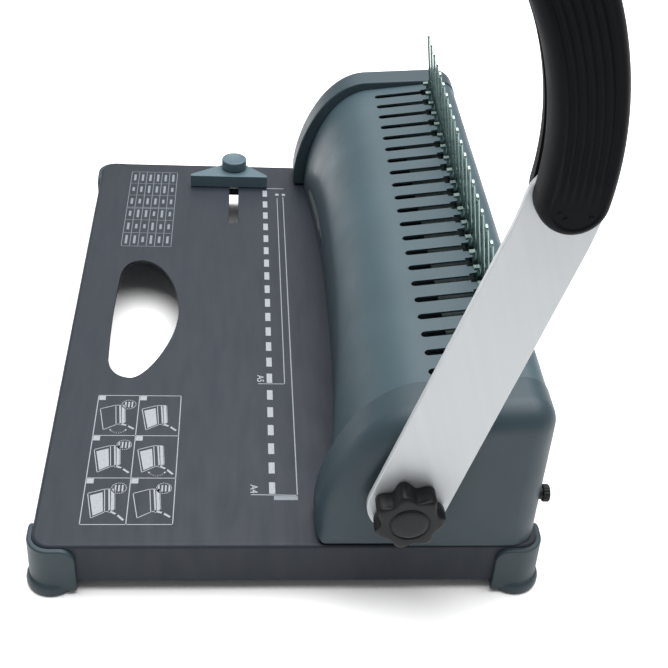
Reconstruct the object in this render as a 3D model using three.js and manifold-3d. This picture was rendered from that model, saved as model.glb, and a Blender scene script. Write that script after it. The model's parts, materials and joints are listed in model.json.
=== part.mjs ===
// Comb binding machine: a lever-operated desk punch with a ring-opening comb.
// Millimetres. +X runs along the machine to the lever, -Y is the paper side, +Z is up.
// The table top is z = 0 and the middle of the row of holes is x = 0.
import * as THREE from 'three';
import Module from 'manifold-3d';
import { mergeVertices } from 'three/addons/utils/BufferGeometryUtils.js';

// ---------- driving dimensions ----------
const GAP = 0.3;                     // clearance kept between neighbouring pieces
const FAR = 400;                     // beyond the whole machine, for solids that only cut
const HOLES = 21;                    // punched holes along an A4 edge
const PITCH = 14.2875;               // 9/16 inch between binding rings
const HOLE = { x: 8, y: 3 };         // rectangular binding hole

const BASE = { halfX: 181.5, halfY: 119, top: 30, bottom: 7, sheet: 1.6, corner: 9, edge: 1.5 };
const BOOT = { proud: 2.2, padProud: 3, reach: 23, padTop: 6.6, padRound: 9, low: 13, top: 29.5 };
const HAND_HOLE = { halfX: 58, straightY: -96.6, bulgeY: -59 };

const SHELL = 2.4;                   // wall of the moulded covers
const PAPER_GAP = 1.9;               // height of the paper throat above the base
const THROAT_BACK = 57.4;            // where the paper edge stops
const DIE = { front: 44, back: 56.6, bodyFront: 40, bodyBack: 61, deep: 6, land: 3, guide: 5 };
const CAP = { inner: 155, outer: 181.5, front: 12.5, round: 12.4, boss: 12 };
const REAR = { y: 117, round: 13, z: 111.5 };
const REAR_COVER_ROUND = 11;
const COVER_HALF = CAP.inner - GAP;
const COVER_FRONT = 19.5;
const SCOOP = { middle: 28.2, reach: 9, power: 2.6, at: 150, step: 16, end: 160 };
const REAR_SCREW = { x: 120, z: 45, thread: 1.6, head: 3.6 };

const SLOPE = THREE.MathUtils.degToRad(8.35);      // tilt of the slotted top
const SLOPE_START = { y: 62, z: 103.5 };           // front end of the slots, on the top surface
const SLOT = { width: 3.8, length: 30, notchWidth: 7.4, notchEnd: 35.7 };
const PRONG = { front: 36, thick: 1.5, width: 5, height: 39.8, root: -1.5, spine: -30 };
const HOOK = { front: 33.8, thick: 1.5, width: 3, height: 6.6, lip: 1.6 };
const OPENER = { top: -5.7, thick: 1.5, front: 13, halfX: 148, travel: 26 };
const OPENER_LUG = { end: 155, front: 24, back: 33 };

const PIVOT = { y: 51.3, z: 64.6 };  // axis of the main shaft
const STROKE = Math.PI / 2;          // lever swing for one full punch
const PUNCH = { y: 50.5, travel: 11, pinBottom: 32.6 };
const BAR = { front: 41.5, back: 57.5, bottom: 49.8, top: 56.3, halfX: 149.9 };
const LUG = { front: 47, back: 54, end: 165, springY: 65, thick: 4 };
const SPRING = { x: 160, radius: 3.8, wire: 0.6, turns: 5 };
const SHAFT = { radius: 5.5, stub: 4, left: -158, shoulder: 186.5, end: 198.6 };
const FRAME_PLATE = { inner: 150.3, thick: 2.5, bore: 8.7, foot: 14 };
const BUSH = { radius: 8.4, flange: 9.9, shoulder: 3, length: 5 };
const CAM = { x: 110, thick: 8, hub: 7.8, startHeight: 8, overrun: 0.15 };
const CRANK = { x: 134, thick: 4, radius: 17, half: 4, restAngle: 40, pin: 2.3 };
const WEB = { x: 139, thick: 3, slotFoot: 70 };

const LEVER = { faceX: 190, thick: 3.2, lean: 73.7, halfLow: 18, halfHigh: 15.9, straight: 148, bend: 120 };
const GRIP = { start: -3, length: 130, half: 15.2, thick: 11, round: 6 };
const COLLAR_RADIUS = 11.5;
const KNOB = { inner: 190.3, outer: 201.5, radius: 16.4, lobes: 7, wave: 1.9, edge: 1.2 };
const KNOB_DOME = { radius: 8.4, proud: 0.8 };

const GUIDE = { face: -150, front: -57.2, back: -5.6, lip: 2.5, nose: 9.6, height: 8.8 };
const BOLT = { x: -162.5, y: -28, radius: 2.5, bore: 2.8, head: 7, headThick: 2.7, neck: 2.7 };
const GUIDE_TRAVEL = 53;
const GUIDE_SLOT = { half: 3, spare: 2.5, behind: 4.5 };
const GUIDE_KNOB = { radius: 8.4, height: 6.8, edge: 0.8, depth: 5 };
const TRAY = { left: -181.8, right: 152, front: 33.6, back: 68.4, bottom: 8.5, top: 22, wall: 1.5 };
const TRAY_PLAY = 0.4;
const CHANNEL_SHEET = 1.2;
const MARGIN = { x: 171.5, z: 55, radius: 3, knob: 5, from: 66, length: 5 };
const STOP = { left: -146, deep: 2.6, thick: 1.3, half: 4, earFront: 72, earBack: 74, earOver: 6 };

// the machine's own X centre, so that the group stands on the centre of its footprint
const CENTRE_X = (KNOB.outer + KNOB_DOME.proud - BASE.halfX - BOOT.padProud) / 2;

// ---------- solid helpers ----------
const wasm = await Module();
wasm.setup();

function solid(geometry) {
  const bare = new THREE.BufferGeometry();
  const flat = geometry.index ? geometry.toNonIndexed() : geometry;
  bare.setAttribute('position', flat.getAttribute('position').clone());
  const merged = mergeVertices(bare, 1e-4);
  const vertProperties = new Float32Array(merged.getAttribute('position').array);
  const triVerts = new Uint32Array(merged.index.array);
  return new wasm.Manifold(new wasm.Mesh({ numProp: 3, vertProperties, triVerts }));
}

// Extrusion options for an edge rounded off by r inside the outline.
function edgeRound(r, bevelSegments) {
  return { bevelEnabled: true, bevelThickness: r, bevelSize: r, bevelOffset: -r, bevelSegments };
}

function geometryOf(manifold) {
  const mesh = manifold.getMesh();
  const geometry = new THREE.BufferGeometry();
  geometry.setAttribute('position', new THREE.BufferAttribute(new Float32Array(mesh.vertProperties), 3));
  geometry.setIndex(new THREE.BufferAttribute(new Uint32Array(mesh.triVerts), 1));
  geometry.computeVertexNormals();
  return geometry;
}

function unite(list) {
  return list.reduce((sum, piece) => sum.add(piece));
}

function box(x0, x1, y0, y1, z0, z1) {
  const geometry = new THREE.BoxGeometry(x1 - x0, y1 - y0, z1 - z0);
  geometry.translate((x0 + x1) / 2, (y0 + y1) / 2, (z0 + z1) / 2);
  return solid(geometry);
}

// A shape in plan, raised from z0 to z1.
function raised(shape, z0, z1, options = {}) {
  const geometry = new THREE.ExtrudeGeometry(shape, { depth: z1 - z0, bevelEnabled: false, ...options });
  geometry.translate(0, 0, z0);
  return solid(geometry);
}

// A shape drawn as (y, z), stretched from x0 to x1.
const ALONG_X = new THREE.Matrix4().makeBasis(
  new THREE.Vector3(0, 1, 0), new THREE.Vector3(0, 0, 1), new THREE.Vector3(1, 0, 0));

function stretchedX(shape, x0, x1, options = {}) {
  const geometry = new THREE.ExtrudeGeometry(shape, { depth: x1 - x0, bevelEnabled: false, ...options });
  geometry.applyMatrix4(ALONG_X);
  geometry.translate(x0, 0, 0);
  return solid(geometry);
}

// A shape drawn as (x, z), stretched from y0 to y1.
const ALONG_Y = new THREE.Matrix4().makeBasis(
  new THREE.Vector3(1, 0, 0), new THREE.Vector3(0, 0, 1), new THREE.Vector3(0, -1, 0));

function stretchedY(shape, y0, y1) {
  const geometry = new THREE.ExtrudeGeometry(shape, { depth: y1 - y0, bevelEnabled: false });
  geometry.applyMatrix4(ALONG_Y);
  geometry.translate(0, y1, 0);
  return solid(geometry);
}

// A turned piece: profile of [radius, distance] pairs, turned about X, Y or Z through (a, b).
function turned(profile, axis, a, b, segments = 32) {
  const points = profile.map(([r, d]) => new THREE.Vector2(r, d));
  const geometry = new THREE.LatheGeometry(points, segments);
  if (axis === 'x') {
    geometry.rotateZ(-Math.PI / 2);
    geometry.translate(0, a, b);
  } else if (axis === 'z') {
    geometry.rotateX(Math.PI / 2);
    geometry.translate(a, b, 0);
  } else {
    geometry.translate(a, 0, b);
  }
  return solid(geometry);
}

function rod(axis, radius, from, to, a, b, segments = 32) {
  return turned([[0, from], [radius, from], [radius, to], [0, to]], axis, a, b, segments);
}

function shapeOf(points) {
  return new THREE.Shape(points.map(([x, y]) => new THREE.Vector2(x, y)));
}

// A closed outline moved inwards by a distance, corner by corner.
function inset(points, distance) {
  const count = points.length;
  const turn = Math.sign(THREE.ShapeUtils.area(points.map(([x, y]) => new THREE.Vector2(x, y))));
  return points.map((point, i) => {
    const before = new THREE.Vector2(...point).sub(new THREE.Vector2(...points[(i + count - 1) % count]));
    const after = new THREE.Vector2(...points[(i + 1) % count]).sub(new THREE.Vector2(...point));
    const n1 = new THREE.Vector2(-before.y, before.x).normalize().multiplyScalar(turn);
    const n2 = new THREE.Vector2(-after.y, after.x).normalize().multiplyScalar(turn);
    const middle = n1.clone().add(n2).normalize();
    const reach = distance / Math.max(0.4, middle.dot(n1));
    return [point[0] + middle.x * reach, point[1] + middle.y * reach];
  });
}

// A band of constant width along a path, with round ends.
function ribbon(path, half, endSteps = 6) {
  const vectors = path.map(([x, y]) => new THREE.Vector2(x, y));
  const count = vectors.length;
  const heading = (i) => {
    const a = vectors[Math.max(0, i - 1)];
    const b = vectors[Math.min(count - 1, i + 1)];
    return Math.atan2(b.y - a.y, b.x - a.x);
  };
  const edge = (turn) => vectors.map((point, i) => {
    const angle = heading(i) + turn;
    return [point.x + half * Math.cos(angle), point.y + half * Math.sin(angle)];
  });
  const end = (i, from) => {
    const { x, y } = vectors[i];
    return arc(x, y, half, from, from + Math.PI, endSteps).slice(1, -1);
  };
  return shapeOf([
    ...edge(-Math.PI / 2), ...end(count - 1, heading(count - 1) - Math.PI / 2),
    ...edge(Math.PI / 2).reverse(), ...end(0, heading(0) + Math.PI / 2),
  ]);
}

function roundedRectangle(x0, x1, y0, y1, r) {
  const shape = new THREE.Shape();
  shape.moveTo(x0 + r, y0);
  shape.lineTo(x1 - r, y0);
  shape.absarc(x1 - r, y0 + r, r, -Math.PI / 2, 0);
  shape.lineTo(x1, y1 - r);
  shape.absarc(x1 - r, y1 - r, r, 0, Math.PI / 2);
  shape.lineTo(x0 + r, y1);
  shape.absarc(x0 + r, y1 - r, r, Math.PI / 2, Math.PI);
  shape.lineTo(x0, y0 + r);
  shape.absarc(x0 + r, y0 + r, r, Math.PI, 1.5 * Math.PI);
  return shape;
}

function bezier(points, steps) {
  const [a, b, c, d] = points.map(([x, y]) => new THREE.Vector2(x, y));
  return new THREE.CubicBezierCurve(a, b, c, d).getPoints(steps).map((p) => [p.x, p.y]);
}

function arc(cx, cy, r, from, to, steps) {
  const points = [];
  for (let i = 0; i <= steps; i += 1) {
    const angle = from + (to - from) * i / steps;
    points.push([cx + r * Math.cos(angle), cy + r * Math.sin(angle)]);
  }
  return points;
}

// The slope frame: u runs rearwards up the slotted top from the slots' front ends, v stands square to it.
function slopePoint(u, v) {
  return [
    SLOPE_START.y + u * Math.cos(SLOPE) - v * Math.sin(SLOPE),
    SLOPE_START.z + u * Math.sin(SLOPE) + v * Math.cos(SLOPE),
  ];
}

function slopeBox(x0, x1, u0, u1, v0, v1) {
  const corners = [slopePoint(u0, v0), slopePoint(u1, v0), slopePoint(u1, v1), slopePoint(u0, v1)];
  return stretchedX(shapeOf(corners), x0, x1);
}

function holeX(index) {
  return (index - (HOLES - 1) / 2) * PITCH;
}

function atEachHole(make) {
  return Array.from({ length: HOLES }, (_, index) => make(holeX(index), index));
}

// ---------- the assembly ----------
const machine = new THREE.Group();
machine.position.x = -CENTRE_X;

const FINISH = {
  plate: { color: 0x59626a, roughness: 0.55, metalness: 0.1 },
  cover: { color: 0x626f76, roughness: 0.5, metalness: 0 },
  boot: { color: 0x454f54, roughness: 0.55, metalness: 0 },
  guide: { color: 0x6d7f87, roughness: 0.45, metalness: 0 },
  silver: { color: 0xcacccf, roughness: 0.35, metalness: 0.8 },
  black: { color: 0x1d1f22, roughness: 0.5, metalness: 0 },
  zinc: { color: 0xaeb6b2, roughness: 0.3, metalness: 0.9 },
  steel: { color: 0x8b8f92, roughness: 0.4, metalness: 0.9 },
  brass: { color: 0xb08d4a, roughness: 0.4, metalness: 0.9 },
};

function add(name, manifold, finish) {
  const mesh = new THREE.Mesh(geometryOf(manifold), new THREE.MeshStandardMaterial(FINISH[finish]));
  mesh.name = name;
  machine.add(mesh);
}

const SIDES = [['left', -1], ['right', 1]];

// Turns a solid made on the right-hand side over to the left.
function onSide(manifold, sign) {
  return sign > 0 ? manifold : manifold.mirror([1, 0, 0]);
}

// ---------- base plate ----------
function handHole() {
  const { halfX, straightY, bulgeY } = HAND_HOLE;
  const shape = new THREE.Shape();
  shape.moveTo(-40, straightY + 1);
  shape.quadraticCurveTo(0, straightY - 0.8, 40, straightY + 1.2);
  shape.bezierCurveTo(51, straightY + 2, 57, straightY + 7, halfX - 0.5, straightY + 14);
  shape.bezierCurveTo(halfX, -74, 24, bulgeY, -2, bulgeY);
  shape.bezierCurveTo(-28, bulgeY, -55, -69, -halfX, straightY + 14);
  shape.bezierCurveTo(-58.5, straightY + 6, -51, straightY + 1.5, -40, straightY + 1);
  return shape;
}

function basePlate() {
  const { halfX, halfY, top, bottom, sheet, corner, edge } = BASE;
  const plan = roundedRectangle(-halfX, halfX, -halfY, halfY, corner);
  const innerX = halfX - sheet;
  const innerY = halfY - sheet;
  const inside = roundedRectangle(-innerX, innerX, -innerY, innerY, corner - sheet);
  const outer = raised(plan, bottom - 2 * edge, top - edge, { ...edgeRound(edge, 2), curveSegments: 5 });
  const windowX = BAR.halfX + GAP;
  const window = box(-windowX, windowX, DIE.front - GAP, DIE.back + GAP, top - DIE.deep, FAR);
  const slotEnds = [BOLT.x - GUIDE_SLOT.behind, BOLT.x + GUIDE_TRAVEL + GUIDE_SLOT.spare];
  const guideSlot = ribbon(slotEnds.map((x) => [x, BOLT.y]), GUIDE_SLOT.half);
  const mouth = box(-FAR, -halfX + 5, TRAY.front - TRAY_PLAY, TRAY.back + TRAY_PLAY, -FAR, TRAY.top + 1);
  return outer
    .subtract(box(-FAR, FAR, -FAR, FAR, -FAR, bottom))
    .subtract(raised(inside, 0, top - sheet, { curveSegments: 5 }))
    .subtract(raised(handHole(), 0, FAR, { curveSegments: 8 }))
    .subtract(raised(guideSlot, 0, FAR))
    .subtract(window)
    .subtract(mouth);
}

add('base_plate', basePlate(), 'plate');

// Corner boot: a moulded foot that wraps the folded corner, tall at the corner and waved down at its ends.
function waveProfile(end, sign) {
  const edge = sign * end;
  const at = (distance, z) => [edge - sign * distance, z];
  const tip = BOOT.reach + 3;
  const wave = bezier([at(7, BOOT.top), at(16, BOOT.top), at(11, BOOT.low), at(19, BOOT.low)], 6);
  const tail = bezier([at(19, BOOT.low), at(21, BOOT.low), at(tip, 10), at(tip, 5)], 3);
  return shapeOf([at(-8, -1), at(-8, BOOT.top), ...wave, ...tail.slice(1), at(tip, -1)]);
}

function cornerBoot(sx, sy) {
  const { proud, padProud, reach, padTop, padRound } = BOOT;
  const square = (grow, depth, radius) => {
    const x = [sx * (BASE.halfX + grow), sx * (BASE.halfX - depth)].sort((a, b) => a - b);
    const y = [sy * (BASE.halfY + grow), sy * (BASE.halfY - depth)].sort((a, b) => a - b);
    return roundedRectangle(x[0], x[1], y[0], y[1], radius);
  };
  const curve = { curveSegments: 4 };
  const wrap = raised(square(proud, reach, 6), padTop - 2, BOOT.top, curve)
    .intersect(stretchedX(waveProfile(BASE.halfY + proud, sy), -FAR, FAR))
    .intersect(stretchedY(waveProfile(BASE.halfX + proud, sx), -FAR, FAR))
    .subtract(raised(square(GAP, 3 * reach, BASE.corner + GAP), padTop, FAR, curve));
  const pad = raised(square(padProud, reach, padRound), 0, padTop - 1.5, curve);
  return wrap.add(pad);
}

add('corner_boot_front_right', cornerBoot(1, -1), 'boot');
add('corner_boot_rear_right', cornerBoot(1, 1), 'boot');
add('corner_boot_front_left', cornerBoot(-1, -1), 'boot');
add('corner_boot_rear_left', cornerBoot(-1, 1), 'boot');

// ---------- covers ----------
const RIM_CURVE = bezier([[CAP.front, 42], [14.5, 66], [30, 106], [58, 108]], 12);
const REAR_TURN = arc(REAR.y - REAR.round, REAR.z - REAR.round, REAR.round, Math.PI / 2, 0, 5);
const COVER_CURVE = bezier([[COVER_FRONT, 36], [21, 62], [35, 100], [SLOPE_START.y, SLOPE_START.z]], 12);

// Outline of the end caps as (y, z), open below the base so that its foot can be trimmed flat.
function capOutline(foot) {
  return [[CAP.front, foot], ...RIM_CURVE, ...REAR_TURN, [REAR.y, foot]];
}

function coverOutline(foot, back) {
  return [[COVER_FRONT, foot], ...COVER_CURVE, slopePoint(back, 0), [slopePoint(back, 0)[0], foot]];
}

function endCap() {
  const foot = BASE.top - CAP.round - 4;
  const block = (depth) => {
    const shape = shapeOf(inset(capOutline(foot), depth));
    return stretchedX(shape, CAP.inner / 2, CAP.outer - CAP.round, edgeRound(CAP.round - depth, 5));
  };
  const window = shapeOf(inset(capOutline(foot - 20), 9));
  return block(0)
    .subtract(block(SHELL).subtract(box(0, CAP.inner + SHELL, -FAR, FAR, -FAR, FAR)))
    .subtract(stretchedX(window, CAP.inner - 1, CAP.inner + SHELL + 1))
    .subtract(box(0, CAP.inner, -FAR, FAR, -FAR, FAR))
    .subtract(box(0, FAR, -FAR, FAR, -FAR, BASE.top + GAP))
    .subtract(box(0, FAR, -FAR, THROAT_BACK - 1, -FAR, BASE.top + PAPER_GAP))
    .subtract(rod('x', 9, CAP.outer - 6, CAP.outer + 6, PIVOT.y, PIVOT.z, 24));
}

const cap = endCap();
const leftCap = cap.add(rod('x', CAP.boss, CAP.outer - SHELL, CAP.outer, PIVOT.y, PIVOT.z, 24));
const marginHole = rod('y', MARGIN.radius + 0.5, REAR.y - 8, REAR.y + 8, MARGIN.x, MARGIN.z, 20);
add('end_cap_left', onSide(leftCap, -1), 'cover');
add('end_cap_right', cap.subtract(marginHole), 'cover');

// The front cover is scooped back along its foot, most in the middle, and clears the paper throat.
function scoopLine(x) {
  return SCOOP.middle - SCOOP.reach * (Math.abs(x) / SCOOP.at) ** SCOOP.power;
}

function scoop(behind) {
  const edge = [];
  for (let x = SCOOP.end; x >= -SCOOP.end; x -= SCOOP.step) edge.push([x, scoopLine(x) + behind]);
  return raised(shapeOf([[-SCOOP.end, 0], [SCOOP.end, 0], ...edge]), 0, FAR);
}

function slotCutter(x) {
  const round = SLOT.width / 2;
  const front = arc(x, slopePoint(round, 0)[0], round, 0, -Math.PI, 6);
  const notchY = slopePoint(SLOT.length, 0)[0];
  const notch = SLOT.notchWidth / 2;
  const back = notchY + 20;
  const outline = [
    ...front, [x - round, notchY], [x - notch, notchY], [x - notch, back],
    [x + notch, back], [x + notch, notchY], [x + round, notchY],
  ];
  return raised(shapeOf(outline), SLOPE_START.z - 18, FAR);
}

function frontCover() {
  const lip = BASE.top + PAPER_GAP;
  const outer = stretchedX(shapeOf(coverOutline(lip, SLOT.notchEnd)), -COVER_HALF, COVER_HALF);
  const hollowOutline = inset(coverOutline(lip - 20, SLOT.notchEnd + 20), SHELL);
  const hollow = stretchedX(shapeOf(hollowOutline), -FAR, FAR);
  const shell = outer.subtract(scoop(0)).subtract(hollow.subtract(scoop(SHELL)));
  return shell.subtract(unite(atEachHole(slotCutter)));
}

add('front_cover', frontCover(), 'cover');

function rearCover() {
  const face = REAR.y - 0.5;
  const top = REAR.z - 1.5;
  const start = PRONG.front + PRONG.thick + 0.5;
  const turn = arc(face - REAR_COVER_ROUND, top - REAR_COVER_ROUND, REAR_COVER_ROUND, Math.PI / 2, 0, 6);
  const outline = (from, foot) => {
    const edge = slopePoint(from, 0);
    return [edge, ...turn, [face, foot], [edge[0], foot]];
  };
  const hole = rod('y', REAR_SCREW.thread + 0.4, face - 9, face + 5, REAR_SCREW.x, REAR_SCREW.z, 12);
  return stretchedX(shapeOf(outline(start, BASE.top + GAP)), -COVER_HALF, COVER_HALF)
    .subtract(stretchedX(shapeOf(inset(outline(start - 20, 0), SHELL)), -FAR, FAR))
    .subtract(hole)
    .subtract(onSide(hole, -1));
}

add('rear_cover', rearCover(), 'cover');

const rearScrew = turned([
  [0, REAR.y - 10], [REAR_SCREW.thread, REAR.y - 10], [REAR_SCREW.thread, REAR.y - 0.2],
  [REAR_SCREW.head, REAR.y - 0.2], [REAR_SCREW.head - 0.4, REAR.y + 1.2], [0, REAR.y + 1.6],
], 'y', REAR_SCREW.x, REAR_SCREW.z, 16);
for (const [side, sign] of SIDES) add(`rear_screw_${side}`, onSide(rearScrew, sign), 'steel');

// ---------- chassis inside ----------
function sideFrame() {
  const { inner, thick, bore, foot } = FRAME_PLATE;
  const throatTop = BASE.top + PAPER_GAP + GAP;
  const slopeTop = [slopePoint(38.5, -3.9), slopePoint(-5, -3.9), slopePoint(-16, -11)];
  const outline = [
    [62, BASE.top + GAP], [110, BASE.top + GAP], [110, 100], ...slopeTop,
    [33, 74], [27.5, 50], [27.5, throatTop], [62, throatTop],
  ];
  const plate = stretchedX(shapeOf(outline), inner, inner + thick);
  const footing = box(inner, inner + foot, 76, 108, BASE.top + GAP, BASE.top + GAP + thick);
  const lugTop = BAR.bottom + LUG.thick + 0.4;
  const lugLow = lugTop - LUG.thick - PUNCH.travel - 1;
  const lugWindow = box(0, FAR, LUG.front - 0.6, LUG.back + 0.6, lugLow, lugTop);
  const slideFront = OPENER_LUG.front - OPENER.travel - 0.8;
  const slideBottom = OPENER.top - OPENER.thick - GAP;
  return plate.add(footing)
    .subtract(rod('x', bore, inner - 1, FAR, PIVOT.y, PIVOT.z, 32))
    .subtract(lugWindow)
    .subtract(slopeBox(0, FAR, slideFront, OPENER_LUG.back + 0.6, slideBottom, OPENER.top + GAP));
}

const frame = sideFrame();
const bushBore = SHAFT.radius + 0.12;
const bushStart = FRAME_PLATE.inner;
const bush = turned([
  [bushBore, bushStart], [BUSH.radius, bushStart], [BUSH.radius, bushStart + BUSH.shoulder],
  [BUSH.flange, bushStart + BUSH.shoulder], [BUSH.flange, bushStart + BUSH.length],
  [bushBore, bushStart + BUSH.length], [bushBore, bushStart],
], 'x', PIVOT.y, PIVOT.z, 32);
for (const [side, sign] of SIDES) {
  add(`side_frame_${side}`, onSide(frame, sign), 'steel');
  add(`shaft_bush_${side}`, onSide(bush, sign), 'brass');
}

function punchHoles(clear) {
  const hx = HOLE.x / 2 + clear;
  const hy = HOLE.y / 2 + clear;
  return unite(atEachHole((x) => box(x - hx, x + hx, PUNCH.y - hy, PUNCH.y + hy, 0, FAR)));
}

const dieLand = box(-BAR.halfX, BAR.halfX, DIE.front, DIE.back, BASE.top - DIE.land, BASE.top);
const dieBody = box(
  -BAR.halfX, BAR.halfX, DIE.bodyFront, DIE.bodyBack, BASE.top - DIE.deep, BASE.top - BASE.sheet - GAP);
add('die_plate', dieLand.add(dieBody).subtract(punchHoles(0.15)), 'steel');

const guideBottom = BASE.top + PAPER_GAP;
const guideBlock = box(-BAR.halfX, BAR.halfX, DIE.front, 66, guideBottom, guideBottom + DIE.guide);
add('punch_guide_plate', guideBlock.subtract(punchHoles(0.1)), 'steel');

function fixedComb() {
  const { front, thick, width, height, root, spine } = PRONG;
  const plate = slopeBox(-BAR.halfX, BAR.halfX, front, front + thick, spine, root);
  const tip = width / 2;
  const prong = (x) => {
    const outline = [[x - tip, root - 1], [x + tip, root - 1], ...arc(x, height - tip, tip, 0, Math.PI, 6)];
    const geometry = new THREE.ExtrudeGeometry(shapeOf(outline), { depth: thick, bevelEnabled: false });
    geometry.rotateX(Math.PI / 2 + SLOPE);
    const [y, z] = slopePoint(front + thick, 0);
    geometry.translate(0, y, z);
    return solid(geometry);
  };
  return plate.add(unite(atEachHole(prong)));
}

add('fixed_comb', fixedComb(), 'zinc');

function backStop() {
  const { left, deep, thick, half, earFront, earBack, earOver } = STOP;
  const z0 = BASE.top + GAP;
  const x0 = MARGIN.x - half;
  const x1 = MARGIN.x + half;
  const strip = box(left, x1, THROAT_BACK, THROAT_BACK + deep, z0, z0 + thick);
  const arm = box(x0, x1, THROAT_BACK, earBack, z0, z0 + thick);
  const ear = box(x0, x1, earFront, earBack, z0, MARGIN.z + earOver);
  return strip.add(arm).add(ear).subtract(rod('y', MARGIN.radius + 0.15, 0, FAR, MARGIN.x, MARGIN.z, 24));
}

add('back_stop', backStop(), 'zinc');

const screwRadius = MARGIN.radius - 0.05;
const screwEnd = REAR.y + MARGIN.length;
const marginScrew = turned([
  [0, MARGIN.from], [screwRadius, MARGIN.from], [screwRadius, REAR.y + GAP], [MARGIN.knob, REAR.y + GAP],
  [MARGIN.knob, screwEnd - 0.6], [MARGIN.knob - 0.8, screwEnd], [0, screwEnd],
], 'y', MARGIN.x, MARGIN.z, 24);
add('margin_screw', marginScrew, 'black');

// ---------- chip tray ----------
function chipTray() {
  const { left, right, front, back, bottom, top, wall } = TRAY;
  const tub = box(left + 2, right, front, back, bottom, top)
    .subtract(box(left + 2 + wall, right - wall, front + wall, back - wall, bottom + wall, top + 5));
  const face = box(left - 1.8, left, front - 4, back + 4, BASE.bottom + 0.5, top + 3.5);
  const link = box(left - 0.5, left + 3, front + 0.2, back - 0.2, bottom, top - 0.5);
  const pull = ribbon([[43, 13], [59, 13]], 3.2);
  return tub.add(face).add(link).subtract(stretchedX(pull, left - 5, left - 0.8));
}

add('chip_tray', chipTray(), 'black');

function trayChannel() {
  const y0 = TRAY.front - TRAY_PLAY;
  const y1 = TRAY.back + TRAY_PLAY;
  const z0 = TRAY.bottom - GAP;
  const x0 = -BASE.halfX + BASE.sheet + 1;
  const x1 = TRAY.right + 4;
  const top = BASE.top - BASE.sheet - GAP;
  return box(x0, x1, y0 - CHANNEL_SHEET, y1 + CHANNEL_SHEET, z0 - CHANNEL_SHEET, top)
    .subtract(box(-FAR, x1 - CHANNEL_SHEET, y0, y1, z0, FAR));
}

add('tray_channel', trayChannel(), 'steel');

// ---------- punch ----------
function punchBar() {
  const { front, back, bottom, top, halfX } = BAR;
  const ear = box(FRAME_PLATE.inner - 3, LUG.end, LUG.front, LUG.back, bottom, bottom + LUG.thick);
  const springSeat = box(LUG.end - 10, LUG.end, LUG.front, LUG.springY + 4.5, bottom, bottom + LUG.thick);
  const lug = ear.add(springSeat);
  return box(-halfX, halfX, front, back, bottom, top).add(onSide(lug, -1)).add(lug);
}

add('punch_bar', punchBar(), 'steel');

atEachHole((x, index) => {
  const hx = HOLE.x / 2;
  const hy = HOLE.y / 2;
  const pin = box(x - hx, x + hx, PUNCH.y - hy, PUNCH.y + hy, PUNCH.pinBottom, BAR.bottom - GAP);
  add(`punch_pin_${String(index + 1).padStart(2, '0')}`, pin, 'zinc');
});

class Helix extends THREE.Curve {
  constructor(x, y, z0, z1, radius, turns) {
    super();
    Object.assign(this, { x, y, z0, z1, radius, turns });
  }

  getPoint(t, target = new THREE.Vector3()) {
    const angle = t * this.turns * 2 * Math.PI;
    const z = this.z0 + (this.z1 - this.z0) * t;
    return target.set(this.x + this.radius * Math.cos(angle), this.y + this.radius * Math.sin(angle), z);
  }
}

for (const [side, sign] of SIDES) {
  const { wire, radius, turns } = SPRING;
  const bottom = BASE.top + GAP + wire;
  const path = new Helix(sign * SPRING.x, LUG.springY, bottom, BAR.bottom - GAP - wire, radius, turns);
  const section = shapeOf(arc(0, 0, wire, 0, 2 * Math.PI * 5 / 6, 5));
  const options = { steps: 9 * turns, bevelEnabled: false, extrudePath: path };
  add(`return_spring_${side}`, solid(new THREE.ExtrudeGeometry(section, options)), 'zinc');
}

// ---------- main shaft and what it drives ----------
const shaft = turned([
  [0, SHAFT.left], [SHAFT.radius, SHAFT.left], [SHAFT.radius, SHAFT.shoulder],
  [SHAFT.stub, SHAFT.shoulder], [SHAFT.stub, SHAFT.end], [0, SHAFT.end],
], 'x', PIVOT.y, PIVOT.z, 32);
add('main_shaft', shaft, 'steel');

const boreRadius = SHAFT.radius + GAP;
const PUNCH_RATIO = PUNCH.travel / STROKE;
const OPENER_RATIO = OPENER.travel / STROKE;

// Involute of a circle of radius PUNCH_RATIO: it lowers the flat bar in step with the lever.
function camPoint(angle) {
  const a = Math.PI - angle;
  const t = CAM.startHeight / PUNCH_RATIO + angle;
  return [
    PIVOT.y + PUNCH_RATIO * (Math.cos(a) - t * Math.sin(a)),
    PIVOT.z + PUNCH_RATIO * (Math.sin(a) + t * Math.cos(a)),
  ];
}

function punchCam() {
  const edge = [];
  for (let i = 0; i <= 12; i += 1) edge.push(camPoint((STROKE + 2 * CAM.overrun) * i / 12 - CAM.overrun));
  const lobe = shapeOf([[PIVOT.y + 3, PIVOT.z + 5], ...edge].reverse());
  const x0 = CAM.x - CAM.thick / 2;
  const x1 = CAM.x + CAM.thick / 2;
  return stretchedX(lobe, x0, x1)
    .add(rod('x', CAM.hub, x0, x1, PIVOT.y, PIVOT.z, 32))
    .subtract(rod('x', boreRadius, x0 - 5, x1 + 5, PIVOT.y, PIVOT.z, 32));
}

function crankPin(angle) {
  const a = THREE.MathUtils.degToRad(CRANK.restAngle) + angle;
  return [PIVOT.y + CRANK.radius * Math.cos(a), PIVOT.z + CRANK.radius * Math.sin(a)];
}

function openerCrank() {
  const [y, z] = crankPin(0);
  const x0 = CRANK.x - CRANK.thick / 2;
  const x1 = CRANK.x + CRANK.thick / 2;
  return stretchedX(ribbon([[PIVOT.y, PIVOT.z], [y, z]], CRANK.half), x0, x1)
    .add(rod('x', CAM.hub, x0, x1, PIVOT.y, PIVOT.z, 32))
    .add(rod('x', CRANK.pin, x0, WEB.x + WEB.thick, y, z, 16))
    .subtract(rod('x', boreRadius, x0 - 5, x1 + 5, PIVOT.y, PIVOT.z, 32));
}

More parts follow.
